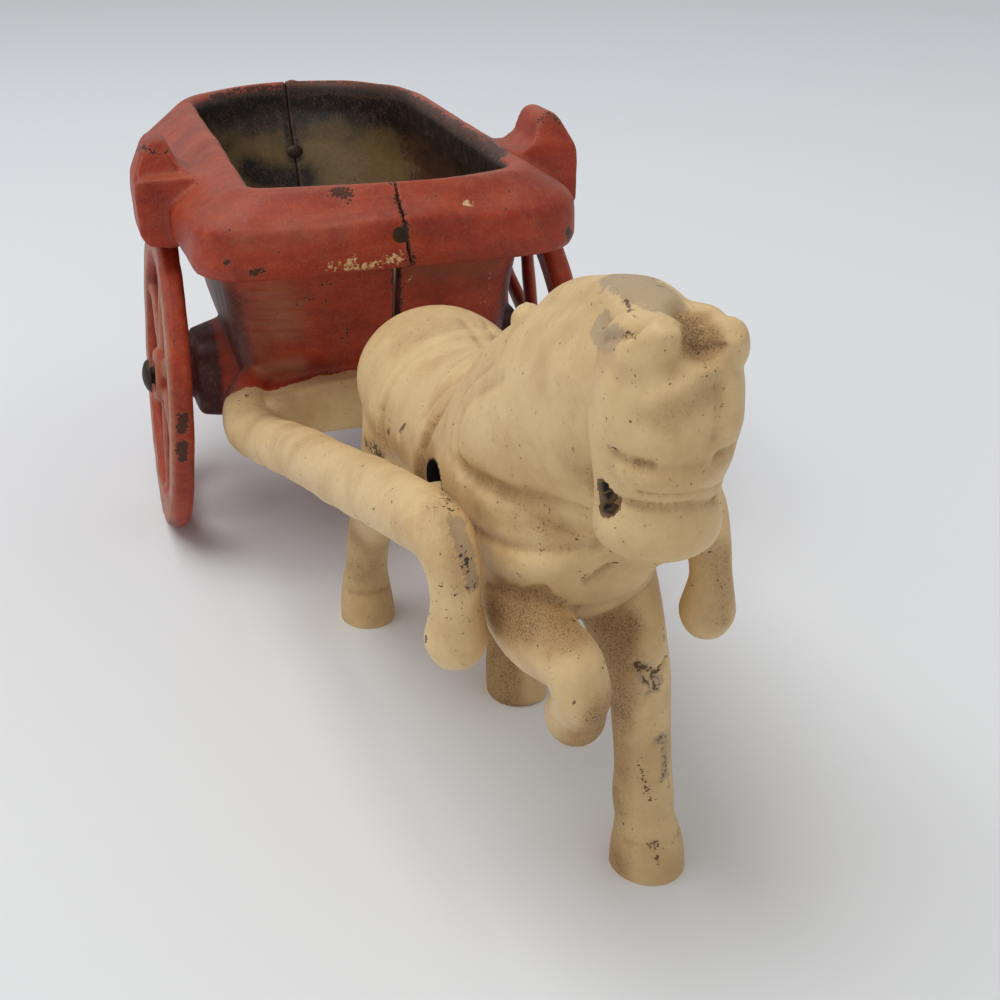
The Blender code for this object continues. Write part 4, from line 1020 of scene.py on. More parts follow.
# Strokes on the horse are measured from its pegs; these lines serve more than one mark
BIT_HOLE = ((36.2, -4.9, 15.0), (36.8, -4.6, 14.1), (36.2, -4.7, 13.2))
CHEST_SEAM = ((25.2, 0.2, 0.4), (25.2, -1.2, -0.9), (25.1, -2.7, -2.1))
KNEE_FOLD = ((18.8, 5.2, -13.0), (19.1, 6.8, -14.0), (18.4, 8.6, -13.4))
SHIN_WEAR = ((18.1, 8.2, -23.1), (17.5, 9.0, -25.0), (17.2, 9.3, -28.4))
STIFLE_WEAR = ((-34.1, -10.6, -6.9), (-30.0, -10.6, -8.5))
HORSE_SIDE_STROKES = (
    # Shoulder
    Stroke(1.4, -0.4, ((15.0, -7.5, 17.5), (7.6, -8.5, 13.0), (5.4, -9.2, 9.1), (6.4, -9.4, 5.8))),
    Stroke(1.7, -0.7, ((6.4, -9.4, 5.8), (15.5, -7.9, 6.9), (23.4, -5.5, 8.5), (27.0, -1.5, 9.5))),
    Stroke(6.0, 0.5, ((11.0, -9.0, 10.5), (17.0, -7.5, 12.0))),
    # Rolls and grooves of the breast
    Stroke(2.0, 0.4, ((12.4, -9.0, 4.4), (18.9, -7.0, 5.3), (22.8, -4.3, 5.6), (24.6, -0.5, 5.6))),
    Stroke(1.2, -0.45, ((11.2, -9.8, 0.6), (17.0, -8.4, 1.8), (21.9, -6.0, 2.9),
                        (24.4, -1.0, 3.8))),
    Stroke(2.2, 0.3, ((13.0, -9.4, -2.4), (22.2, -6.1, 0.8), (24.6, -2.0, 1.6))),
    Stroke(1.0, -0.4, ((15.0, -8.9, -3.8), (17.3, -8.6, -3.2), (22.1, -6.1, -1.8))),
    # Saddle and girth lines
    Stroke(0.9, -0.35, ((-1.0, -2.0, 14.0), (-5.0, -6.7, 10.6), (-6.1, -9.2, 7.7),
                        (-6.9, -9.8, 6.0), (-10.2, -10.3, 1.6))),
    Stroke(0.9, -0.35, ((2.0, -5.0, 13.6), (-2.4, -7.6, 10.0), (-3.8, -9.4, 6.4),
                        (-4.6, -10.7, 3.4))),
    Stroke(0.8, -0.3, ((10.7, -7.0, 17.7), (5.0, -7.9, 13.0), (3.2, -9.2, 9.0),
                       (3.0, -9.8, 5.5))),
    # Flank rivet's boss, elbow and stifle
    Stroke(3.4, 0.45, ((-15.5, -10.4, 0.4), (-19.0, -10.6, -0.8))),
    Stroke(4.0, 0.4, ((-34.0, -10.0, -6.0), (-31.0, -10.0, -3.0))),
    # Eye and the hollow before the ear
    Stroke(3.0, 0.35, ((38.0, -5.7, 23.5), (38.2, -5.8, 21.4))),
    Stroke(2.2, -0.45, ((41.9, -4.1, 28.0), (42.1, -2.4, 27.7))),
)
HORSE_STROKES = (
    # Crupper strap
    Stroke(0.8, -0.4, ((-33.7, 1.9, 7.8), (-24.6, 1.0, 8.7), (-14.7, -0.6, 10.4))),
    Stroke(0.8, -0.4, ((-35.3, 5.3, 6.7), (-24.2, 3.6, 8.2), (-14.0, 2.2, 9.9))),
    # Hollow between the ears, and the groove behind the right one
    Stroke(2.3, -1.3, ((42.0, 0.9, 28.4), (40.6, 0.9, 29.2), (38.4, 0.9, 29.8))),
    Stroke(0.9, -0.5, ((34.4, -4.7, 27.0), (38.2, -4.7, 28.6), (39.6, -4.4, 30.2))),
    # Brow, left eye and the valley beside it
    Stroke(1.4, 0.45, ((41.9, -2.9, 24.2), (42.6, -0.9, 25.4), (42.4, 0.6, 26.4))),
    Stroke(2.2, 0.5, ((41.6, 3.9, 23.6), (41.2, 4.2, 21.6))),
    Stroke(1.3, -0.5, ((42.3, 1.8, 25.0), (42.4, 1.9, 23.0), (42.3, 1.7, 21.0))),
    Stroke(2.0, -0.35, ((41.3, -3.6, 22.6), (42.3, -1.6, 22.0))),
    # Steps at the cheeks, the roll below them and the nose band
    Stroke(1.1, -0.45, ((38.7, -5.3, 19.1), (40.4, -4.2, 18.7), (41.3, -3.2, 18.7))),
    Stroke(1.2, -0.25, ((40.8, -3.8, 18.7), (42.3, 0.6, 18.9), (41.5, 3.2, 18.9))),
    Stroke(1.1, -0.45, ((41.8, 2.6, 18.9), (40.2, 4.6, 18.7))),
    Stroke(1.6, 0.35, ((39.6, -4.4, 17.3), (41.4, -2.2, 17.2), (41.8, 0.5, 17.3))),
    Stroke(1.0, -0.55, ((37.4, -4.4, 14.5), (39.4, -3.2, 14.6), (40.8, 0.5, 14.5),
                        (38.6, 3.7, 13.8))),
    Stroke(0.8, -0.35, ((39.6, -3.2, 15.9), (41.0, 0.5, 15.8), (39.2, 3.7, 15.1))),
    # Seam in the chest
    Stroke(0.7, -0.4, CHEST_SEAM),
    # Hole at the bit
    Stroke(1.1, -1.6, BIT_HOLE),
    # Left knee and its fold
    Stroke(2.4, 0.5, ((18.7, 6.0, -11.0), (18.9, 7.0, -12.0))),
    Stroke(0.8, -0.4, KNEE_FOLD),
    # Coronets of the left fore and right hind hooves
    Stroke(0.9, -0.3, ((16.0, 5.0, -37.0), (18.4, 8.4, -36.8), (16.4, 12.4, -37.0))),
    Stroke(0.9, -0.3, ((-49.6, -5.6, -36.6), (-48.6, -9.0, -36.4), (-50.4, -12.4, -36.6))),
)
HORSE_GREY = (
    # Crest and poll
    Stroke(3.4, 0.85, ((26.6, -0.5, 29.3), (33.2, -0.8, 30.0), (37.1, -0.4, 30.7))),
    Stroke(2.2, 0.85, ((31.1, -3.9, 27.6), (34.4, -4.9, 27.2), (37.6, -4.9, 28.4))),
    Stroke(3.0, 0.5, STIFLE_WEAR),
    Stroke(3.0, 0.5, ((19.1, 5.6, -12.5), (19.3, 6.5, -14.9), (19.2, 7.1, -16.2))),
    Stroke(1.8, 0.6, SHIN_WEAR),
)
HORSE_BARE_AND_HOLE_SHADE = (
    # Scratches at the crest and cracks beside the eye and the flank
    Stroke(0.6, 0.7, ((38.2, -4.7, 28.6), (39.8, -4.4, 29.8))),
    Stroke(0.5, 0.6, ((33.2, -2.4, 29.7), (36.8, -3.2, 29.6))),
    Stroke(0.45, 0.8, ((38.4, -5.6, 19.5), (39.2, -5.3, 19.3))),
    Stroke(0.6, 0.9, ((-14.6, -10.7, 2.4), (-15.4, -10.7, 1.4))),
    Stroke(0.6, 0.8, ((-20.5, -10.8, -0.4), (-22.8, -10.8, -1.6))),
    Stroke(1.5, 0.5, STIFLE_WEAR),
    Stroke(0.45, 0.6, CHEST_SEAM),
    # Painted shade in the hole at the bit, marked far past bare iron
    Stroke(1.0, 3.0, BIT_HOLE),
    # Left foreleg
    Stroke(1.2, 0.38, ((19.2, 5.9, -13.4), (19.3, 6.5, -14.9), (19.2, 7.1, -16.2))),
    Stroke(0.7, 0.5, KNEE_FOLD),
    Stroke(1.0, 0.4, SHIN_WEAR),
    Stroke(0.9, 0.4, ((17.6, 6.3, -25.6), (17.4, 7.0, -28.4), (17.2, 7.7, -31.3))),
    Stroke(1.1, 0.5, ((18.0, 8.1, -36.7), (18.5, 8.2, -38.4))),
    # Knee of the lifted right foreleg
    Stroke(1.0, 0.5, ((31.4, -4.0, -9.6), (31.6, -4.2, -9.0))),
)
# Brown dirt, and painted shade between the forelegs and on the lower right hind leg
HORSE_GRIME_AND_SHADE = (
    Stroke(2.4, 1.6, ((42.0, 0.9, 28.6), (40.6, 0.9, 29.2), (38.6, 0.9, 29.8))),
    Stroke(2.4, 0.35, ((42.4, -2.4, 23.7), (42.6, 0.3, 24.8))),
    Stroke(4.2, 1.3, ((17.8, -8.8, -4.4), (21.0, -7.7, -3.8), (25.2, -6.6, -2.8),
                      (28.0, -5.8, -2.3))),
    Stroke(2.4, 0.8, ((22.0, -6.8, -3.2), (27.0, -5.4, -2.0))),
    Stroke(5.0, 0.28, ((12.4, -9.0, 4.4), (13.0, -9.4, 0.0), (17.0, -8.4, -2.0))),
    Stroke(3.0, 0.35, ((12.4, -9.0, 4.6), (18.9, -7.0, 5.6), (22.8, -4.3, 5.6))),
    Stroke(3.0, 0.8, ((-3.0, -10.6, 3.0), (-5.0, -10.8, 0.0), (2.0, -10.6, -1.0))),
    Stroke(4.0, 0.3, ((-15.0, -10.8, 0.5), (-22.0, -10.8, -1.0))),
    Stroke(5.0, 0.2, ((-29.6, -0.8, 8.0), (-33.7, -9.5, 2.6))),
    # Painted shade on the inside of the left foreleg, between the legs
    Stroke(3.0, 0.9, ((17.8, 4.0, -9.0), (17.0, 4.2, -13.0))),
    Stroke(4.0, 0.35, ((34.1, -4.7, 13.1), (30.0, -6.0, 14.0))),
    # Dirt and painted shade on the lower right hind leg
    Stroke(6.0, 0.5, ((-46.0, -9.0, -24.0), (-50.0, -10.0, -33.0))),
)
# Lone black specks
HORSE_SPECKS = (
    (27.0, -6.8, 18.1), (26.2, -6.7, 14.7), (27.0, -5.9, 12.7), (20.4, -6.9, 8.6),
    (23.7, -3.0, 4.3), (24.5, 1.0, 1.2), (42.5, -1.8, 24.3), (-25.2, -10.9, 0.5),
    (-28.7, -6.1, 6.4), (12.4, -9.0, 4.4), (18.9, -7.0, 5.3), (31.4, -5.8, -7.7),
)
SPECK_RADIUS = 0.26


def horse_marks(mesh):
    """Where the horse's paint is worn to the iron, greyed or dirty, and where shade is painted: in
    the peg holes, between the legs and low on the legs.
    """
    origin = (PEG_FORWARD, 0.0, PEG_HEIGHT)
    x, y, z = (points_of(mesh) - origin).T
    from_hole = np.hypot(x + PEG_HOLE_SET_BACK, z - PEG_HOLE_RISE)
    hole = (from_hole < PEG_HOLE_DIAMETER / 2 + 0.1) & (np.abs(y) > PEG_HOLE_FLOOR - 0.5)
    specks = [Stroke(SPECK_RADIUS, 1.1, (speck, speck)) for speck in HORSE_SPECKS]
    bare_and_hole_shade = np.maximum(stained(mesh, HORSE_BARE_AND_HOLE_SHADE, origin), stained(mesh, specks, origin))
    # Darker towards the bottom of the legs: dirt and painted shade
    low = 0.14 * ease(-14.0, -26.0, z)
    # Painted shade between the legs, under the body
    between = 1.0 * ease(6.5, 3.5, np.abs(y)) * ease(-4.0, -10.0, z)
    mark_relief(mesh, 14, 0.5, (0.4, 1.2), 1.6)
    # The peg holes are marked far past bare iron, for painted shade inside them
    set_marks(mesh, "bare_and_hole_shade", np.maximum(bare_and_hole_shade, hole * 3.0))
    set_marks(mesh, "grey", stained(mesh, HORSE_GREY, origin))
    set_marks(mesh, "grime_and_shade", np.maximum(stained(mesh, HORSE_GRIME_AND_SHADE, origin), low + between))


# Chips in the outer edge of the right wheel, from the axle, the seam and the floor
WHEEL_BARE = (
    Stroke(1.4, 0.9, ((25.0, -31.4, 26.6), (25.0, -31.4, 24.8))),
    Stroke(1.6, 0.9, ((24.8, -31.6, 22.0), (24.4, -31.6, 20.0))),
    Stroke(1.2, 0.5, ((14.0, -33.2, 4.4), (12.4, -33.2, 3.4))),
    Stroke(1.6, 0.6, ((-12.0, -33.2, 47.0), (-15.0, -33.2, 45.2))),
)


def ring_section(bm, y, profile, segments):
    """A ring about the axle, closed through (radius, distance out) pairs."""
    loops = []
    for k in range(segments):
        turn = math.tau * k / segments - math.pi / 2
        loop = []
        for radius, out in profile:
            point = (radius * math.cos(turn), y + out, AXLE_HEIGHT + radius * math.sin(turn))
            loop.append(bm.verts.new(point))
        loops.append(loop)
    count = len(profile)
    for k in range(segments):
        near = loops[k]
        far = loops[(k + 1) % segments]
        for i in range(count):
            j = (i + 1) % count
            bm.faces.new((near[i], near[j], far[j], far[i]))


def spoke(bm, centre, turn, rows):
    """A tapered spoke out from a hub's centre, through rows of radius, width and depth."""
    radial = Vector((math.cos(turn), 0, math.sin(turn)))
    tangent = Vector((-math.sin(turn), 0, math.cos(turn)))
    rings = []
    for radius, width, depth in rows:
        ring = []
        for m in range(16):
            angle = math.tau * m / 16
            offset = tangent * (width / 2 * math.cos(angle))
            offset.y += depth / 2 * math.sin(angle)
            ring.append(centre + radial * radius + offset)
        rings.append(ring)
    bridge(bm, rings)


def wheel(side, sizes):
    """A cast wheel with a flat rim, a bored hub and tapered spokes, before it leans."""
    thick = sizes.wheel_thickness / MM
    outer = WHEEL_DIAMETER / 2
    inner = outer - sizes.rim_depth / MM
    hub = sizes.hub_diameter / MM / 2
    bore = AXLE_DIAMETER / 2 + WHEEL_PLAY
    middle = side * (WHEEL_OUTER - thick / 2)
    bm = bmesh.new()
    ring_section(bm, middle, [
        (outer, -thick * 0.28), (outer - RIM_EDGE, -thick / 2), (inner + RIM_EDGE, -thick / 2),
        (inner, -thick * 0.2), (inner, thick * 0.2), (inner + RIM_EDGE, thick / 2),
        (outer - RIM_EDGE, thick / 2), (outer, thick * 0.28)], 160)
    half = HUB_LENGTH / 2
    ring_section(bm, middle, [
        (hub, -half + HUB_EDGE), (hub - HUB_EDGE, -half), (bore, -half), (bore, half),
        (hub - HUB_EDGE, half), (hub, half - HUB_EDGE)], 64)
    centre = Vector((0, middle, AXLE_HEIGHT))
    rows = (
        (bore + 1.0, SPOKE_WIDTH_HUB * 1.15, 2.6), (hub + 1.0, SPOKE_WIDTH_HUB, 2.3),
        (inner - 1.5, SPOKE_WIDTH_RIM, 2.1), (inner + 1.2, SPOKE_WIDTH_RIM * 1.35, 2.3),
    )
    for k in range(sizes.spoke_count):
        spoke(bm, centre, math.tau * (k + 0.5) / sizes.spoke_count, rows)
    return bm, centre


def domed_bar(bm, start, end, bar, both_heads=True):
    """A bar from start to end, with a domed head past its start and, if asked, its end."""
    length = (Vector(end) - Vector(start)).length
    dome = [(-bar.rise * math.cos(turn), bar.head * math.sin(turn))
            for turn in map(math.radians, bar.slopes)]
    profile = [*dome, (0.0, bar.head), (0.01, bar.shank), (length, bar.shank)]
    if both_heads:
        profile += [(length + 0.01, bar.head)]
        profile += [(length - distance, radius) for distance, radius in reversed(dome)]
    turned(bm, start, end, profile)


def hardware(name, bm, body, nodes, mat):
    """Finish a small turned piece: a dented surface, its marks, its body and its material."""
    bmesh.ops.recalc_face_normals(bm, faces=bm.faces)
    mesh = mesh_from(name, bm)
    dent(mesh, 0.06, 2.2, 11)
    mark_relief(mesh, 3, 0.2)
    item = link(name, mesh)
    to_frame(item, TURNED_CREASE)
    finish(item, body, nodes, mat)


def finish(item, body, nodes, mat):
    """Give a piece its material, its body and the CAD nodes that it stands for."""
    item.data.materials.clear()
    item.data.materials.append(mat)
    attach(item, body)
    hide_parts(*nodes)


def node(tree, kind, sockets=None, **settings):
    """Add a shader node; a socket takes either another node's output or a plain value."""
    made = tree.nodes.new(kind)
    for key, value in settings.items():
        setattr(made, key, value)
    for key, value in (sockets or {}).items():
        if isinstance(value, bpy.types.NodeSocket):
            tree.links.new(value, made.inputs[key])
        else:
            made.inputs[key].default_value = value
    return made


def maths(tree, operation, first, second):
    return node(tree, "ShaderNodeMath", {0: first, 1: second}, operation=operation).outputs[0]


def remap(tree, value, low, high, start=0.0, end=1.0):
    """Turn the values between low and high into start to end, easing at both."""
    made = node(tree, "ShaderNodeMapRange", {
        "Value": value, "From Min": low, "From Max": high, "To Min": start, "To Max": end,
    }, interpolation_type="SMOOTHSTEP")
    return made.outputs["Result"]


def solid(colour):
    """A colour with full cover, or another node's output as it is."""
    return colour if isinstance(colour, bpy.types.NodeSocket) else (*colour, 1)


def blend_colour(tree, share, first, second):
    made = node(tree, "ShaderNodeMix", {0: share, 6: solid(first), 7: solid(second)},
                data_type="RGBA")
    return made.outputs[2]


def object_place(tree):
    """Where a point lies on its piece, so that a finish stays with it."""
    return node(tree, "ShaderNodeTexCoord").outputs["Object"]


def noise(tree, where, size, detail=3.0, roughness=0.55):
    """Cloudy noise whose lumps are about size millimetres."""
    made = node(tree, "ShaderNodeTexNoise", {
        "Vector": where, "Scale": 1.0 / (size * MM), "Detail": detail, "Roughness": roughness})
    return made.outputs["Fac"]


def marks(tree, name):
    """A number that the casting carries at each point."""
    return node(tree, "ShaderNodeAttribute", attribute_name=name).outputs["Fac"]


def new_material(name):
    """A material, with its nodes, its shader and the place that its finish is measured from."""
    mat = bpy.data.materials.new(name)
    mat.use_nodes = True
    tree = mat.node_tree
    return mat, tree, tree.nodes["Principled BSDF"], object_place(tree)


def bump(tree, shader, height, distance):
    """Raise a surface by a height of 0 to 1, up to a distance in millimetres."""
    made = node(tree, "ShaderNodeBump", {
        "Strength": 0.5, "Distance": distance * MM, "Height": height})
    tree.links.new(made.outputs["Normal"], shader.inputs["Normal"])


def new_group(name, inputs, outputs):
    """An empty node group with named number sockets."""
    tree = bpy.data.node_groups.new(name, "ShaderNodeTree")
    for label, value in inputs:
        socket = tree.interface.new_socket(label, in_out="INPUT", socket_type="NodeSocketFloat")
        socket.default_value = value
    for label in outputs:
        tree.interface.new_socket(label, in_out="OUTPUT", socket_type="NodeSocketFloat")
    start = tree.nodes.new("NodeGroupInput").outputs
    end = tree.nodes.new("NodeGroupOutput").inputs
    return tree, start, end


def use_group(tree, name, sockets):
    return node(tree, "ShaderNodeGroup", sockets, node_tree=bpy.data.node_groups[name]).outputs


def sand_cast_group():
    """The uneven skin that a sand mould leaves: fine grain over soft lumps."""
    tree, start, end = new_group("sand_cast", (("Grain Depth", 0.5), ("Lump Depth", 0.5)),
                                 ("Height",))
    where = object_place(tree)
    fine = noise(tree, where, 0.35, 4.0, 0.7)
    coarse = noise(tree, where, 2.4, 2.0)
    fine = maths(tree, "MULTIPLY", fine, start["Grain Depth"])
    coarse = maths(tree, "MULTIPLY", coarse, start["Lump Depth"])
    tree.links.new(maths(tree, "ADD", fine, coarse), end["Height"])


def chipped_paint_group():
    """Where paint has gone: raised edges and marked spots, broken up into ragged chips."""
    tree, start, end = new_group("chipped_paint", (
        ("Proud", 0.0), ("Bare", 0.0), ("Edge Wear", 0.5), ("Chips", 0.3)), ("Mask", "Rubbed"))
    where = object_place(tree)
    ragged = noise(tree, where, 1.6, 5.0, 0.62)
    fine = noise(tree, where, 0.4, 2.0, 0.6)
    patches = remap(tree, noise(tree, where, 11.0, 3.0, 0.5), 0.5, 0.75)
    need = maths(tree, "ADD", start["Bare"],
                 maths(tree, "MULTIPLY", start["Proud"], start["Edge Wear"]))
    need = maths(tree, "ADD", need, maths(tree, "MULTIPLY", patches, start["Chips"]))
    need = maths(tree, "ADD", need, maths(tree, "MULTIPLY", ragged, 1.4))
    need = maths(tree, "ADD", need, maths(tree, "MULTIPLY", fine, 1.2))
    tree.links.new(remap(tree, need, 1.70, 1.80), end["Mask"])
    tree.links.new(remap(tree, need, 1.20, 1.75), end["Rubbed"])


def speckle_group():
    """Small dark pits and specks scattered unevenly."""
    tree, start, end = new_group("speckle", (("Size", 0.6), ("Amount", 0.5)), ("Mask",))
    where = object_place(tree)
    scale = maths(tree, "DIVIDE", 1000.0, start["Size"])
    dots = node(tree, "ShaderNodeTexVoronoi", {"Vector": where, "Scale": scale,
                                               "Randomness": 1.0}).outputs["Distance"]
    crowd = noise(tree, where, 4.5, 4.0, 0.6)
    reach = maths(tree, "MULTIPLY", remap(tree, crowd, 0.42, 0.75), start["Amount"])
    mask = remap(tree, dots, 0.0, reach, 1.0, 0.0)
    tree.links.new(mask, end["Mask"])


def grime_group():
    """Dirt in hollows and marked places, with painted shade where the marks carry it: a soft brown
    film, and dark stipples where it is thick.
    """
    tree, start, end = new_group("grime_and_shade", (
        ("Sunk", 0.0), ("Grime And Shade", 0.0), ("Amount", 0.5), ("Veil", 0.2)), ("Film", "Stipple"))
    where = object_place(tree)
    cloud = noise(tree, where, 5.0, 5.0, 0.62)
    fine = noise(tree, where, 0.2, 2.0, 0.6)
    need = maths(tree, "ADD", maths(tree, "MULTIPLY", start["Sunk"], start["Amount"]),
                 start["Grime And Shade"])
    film = maths(tree, "MULTIPLY", maths(tree, "ADD", need, start["Veil"]),
                 maths(tree, "ADD", cloud, maths(tree, "MULTIPLY", fine, 0.6)))
    tree.links.new(remap(tree, film, 0.0, 0.85), end["Film"])
    broad = maths(tree, "MULTIPLY", maths(tree, "SUBTRACT", cloud, 0.5), 0.6)
    thick = maths(tree, "ADD", maths(tree, "MULTIPLY", need, 0.20), maths(tree, "ADD", fine, broad))
    tree.links.new(remap(tree, thick, 0.70, 0.88), end["Stipple"])


def brushed_group():
    """Faint level streaks that the brush left in the paint."""
    tree, start, end = new_group("brushed", (("Depth", 0.5),), ("Mask",))
    where = object_place(tree)
    level = node(tree, "ShaderNodeMapping", {"Vector": where, "Scale": (1.0, 0.14, 1.0)}).outputs[0]
    streaks = remap(tree, noise(tree, level, 1.3, 3.0, 0.55), 0.38, 0.66)
    tree.links.new(maths(tree, "MULTIPLY", streaks, start["Depth"]), end["Mask"])


def cart_colour(tree, colours, where, aged, cream):
    """Red paint with brush streaks, cream overspray in front and stains inside the tub."""
    red = blend_colour(tree, aged, colours.red, colours.red_dark)
    streaks = use_group(tree, "brushed", {"Depth": 1.0})["Mask"]
    red = blend_colour(tree, maths(tree, "MULTIPLY", streaks, 0.36), red, colours.red_dark)
    # Dust and painted sheen, paler red where the marks say
    dust_and_sheen_share = maths(tree, "MULTIPLY", marks(tree, "dust_and_sheen"), remap(tree, streaks, 0, 1, 1.1, 0.75))
    red = blend_colour(tree, dust_and_sheen_share, red, colours.dust_and_sheen)
    # Painted shade: the red darkened on the side walls and brackets behind the wheels
    red = blend_colour(tree, marks(tree, "shade"), red, colours.shade)
    ragged = maths(tree, "MULTIPLY", noise(tree, where, 0.7, 4.0, 0.65), 1.4)
    share = maths(tree, "ADD", marks(tree, "cream"), ragged)
    paint = blend_colour(tree, remap(tree, share, 1.12, 1.26), red, cream)
    olive = maths(tree, "ADD", marks(tree, "olive"), ragged)
    inside = blend_colour(tree, remap(tree, olive, 0.9, 1.4), colours.stain,
                          colours.olive)
    # Painted shade inside the tub, nearly black
    inside = blend_colour(tree, marks(tree, "deep_shade"), inside, colours.deep_shade)
    return blend_colour(tree, marks(tree, "inner"), paint, inside)


def greyed(tree, colours, where, cream):
    """Cream paint, greyed where it is handled."""
    ragged = maths(tree, "MULTIPLY", noise(tree, where, 1.6, 5.0, 0.65), 1.3)
    share = remap(tree, maths(tree, "ADD", marks(tree, "grey"), ragged), 0.98, 1.22, 0.0, 0.9)
    return blend_colour(tree, share, cream, colours.grey)


def painted(name, colours, wear, is_cart):
    """Old paint over cast iron, with chips, rubbed edges, specks and dirt, and painted shade in
    holes and where the marks carry it.
    """
    mat, tree, shader, where = new_material(name)
    aged = remap(tree, noise(tree, where, 7.0, 4.0, 0.6), 0.38, 0.72)
    paint = blend_colour(tree, aged, colours.cream, colours.cream_dark)
    paint = greyed(tree, colours, where, paint)
    if is_cart:
        paint = cart_colour(tree, colours, where, aged, paint)
    chips = use_group(tree, "chipped_paint", {
        "Proud": marks(tree, "proud"), "Bare": marks(tree, "bare_and_hole_shade"),
        "Edge Wear": wear.edges, "Chips": wear.chips})
    # Dirt, and on the horse painted shade, as a film and dark stipples
    dirt = use_group(tree, "grime_and_shade", {
        "Sunk": marks(tree, "sunk"), "Grime And Shade": marks(tree, "grime_and_shade"),
        "Amount": wear.hollows, "Veil": wear.veil})
    specks = use_group(tree, "speckle", {"Size": 1.1, "Amount": 0.3})["Mask"]
    rubbed = maths(tree, "MULTIPLY", chips["Rubbed"], wear.rubbed)
    colour = blend_colour(tree, rubbed, paint, colours.dust)
    film = maths(tree, "MULTIPLY", dirt["Film"], wear.film)
    colour = blend_colour(tree, film, colour, colours.mud if is_cart else colours.dirt)
    stipple = maths(tree, "MAXIMUM", dirt["Stipple"], specks)
    colour = blend_colour(tree, maths(tree, "MULTIPLY", stipple, 0.6), colour, colours.soil)
    bare_and_hole_shade = colours.iron if is_cart else colours.soil
    colour = blend_colour(tree, maths(tree, "MULTIPLY", chips["Mask"], 0.85), colour, bare_and_hole_shade)
    # Painted shade: the holes, marked far past bare iron, are made nearly black
    hole_shade = remap(tree, marks(tree, "bare_and_hole_shade"), 1.0, 2.4)
    colour = blend_colour(tree, hole_shade, colour, colours.deep_shade)
    tree.links.new(colour, shader.inputs["Base Color"])
    tree.links.new(remap(tree, dirt["Film"], 0.0, 1.0, 0.46, 0.75), shader.inputs["Roughness"])
    metal = maths(tree, "MULTIPLY", chips["Mask"], wear.metal)
    tree.links.new(metal, shader.inputs["Metallic"])
    shader.inputs["Specular IOR Level"].default_value = 0.28
    grain = use_group(tree, "sand_cast", {"Grain Depth": 0.35, "Lump Depth": 0.8})["Height"]
    height = maths(tree, "SUBTRACT", grain, maths(tree, "MULTIPLY", chips["Mask"], 0.5))
    height = maths(tree, "SUBTRACT", height, maths(tree, "MULTIPLY", stipple, 0.3))
    bump(tree, shader, height, 0.22)
    return mat


def worn_iron(name, colours):
    """Bare iron, brown and rubbed."""
    mat, tree, shader, where = new_material(name)
    cloud = noise(tree, where, 1.8, 5.0, 0.65)
    colour = blend_colour(tree, remap(tree, cloud, 0.35, 0.7), colours.iron,
                          colours.rust)
    tree.links.new(colour, shader.inputs["Base Color"])
    tree.links.new(remap(tree, cloud, 0.3, 0.7, 0.38, 0.7), shader.inputs["Roughness"])
    shader.inputs["Metallic"].default_value = 0.7
    grain = use_group(tree, "sand_cast", {"Grain Depth": 0.5, "Lump Depth": 0.5})["Height"]
    bump(tree, shader, grain, 0.15)
    return mat


def length_property(name, description, size):
    """A length that may be changed, from its size in millimetres."""
    return FloatProperty(name=name, description=description, default=size * MM, unit="LENGTH")


class ToySizes(bpy.types.PropertyGroup):
    """Sizes of the castings that may be changed."""
    wall: length_property("Tub Wall", "Thickness of the tub's walls and floor", 3.0)
    opening_width: length_property("Opening Width", "Width of the tub's opening", 37.4)
    lip_reach: length_property("Lip Reach", "How far the front lip stands out", 6.8)
    seam_gap: length_property("Seam Gap", "Gap between the cart's two castings", 0.14)
    shaft_diameter: length_property("Shaft Diameter", "Thickness of the shafts", 7.2)
    barrel_width: length_property("Barrel Width", "Width of the horse's barrel", BARREL_WIDTH)
    wheel_thickness: length_property("Wheel Thickness", "Width of a wheel's tread", 3.4)
    wheel_lean: FloatProperty(name="Wheel Lean", description="How far a wheel leans inward",
                              default=math.radians(4.0), subtype="ANGLE")
    rim_depth: length_property("Rim Depth", "Depth of a wheel's rim", 5.6)
    hub_diameter: length_property("Hub Diameter", "Diameter of a wheel's hub", 9.0)
    spoke_count: IntProperty(name="Spokes", description="Number of spokes in a wheel", default=6,
                             min=3, max=12)


def colour_property(name, description, colour):
    return FloatVectorProperty(name=name, description=description, default=colour,
                               subtype="COLOR", min=0.0, max=1.0)


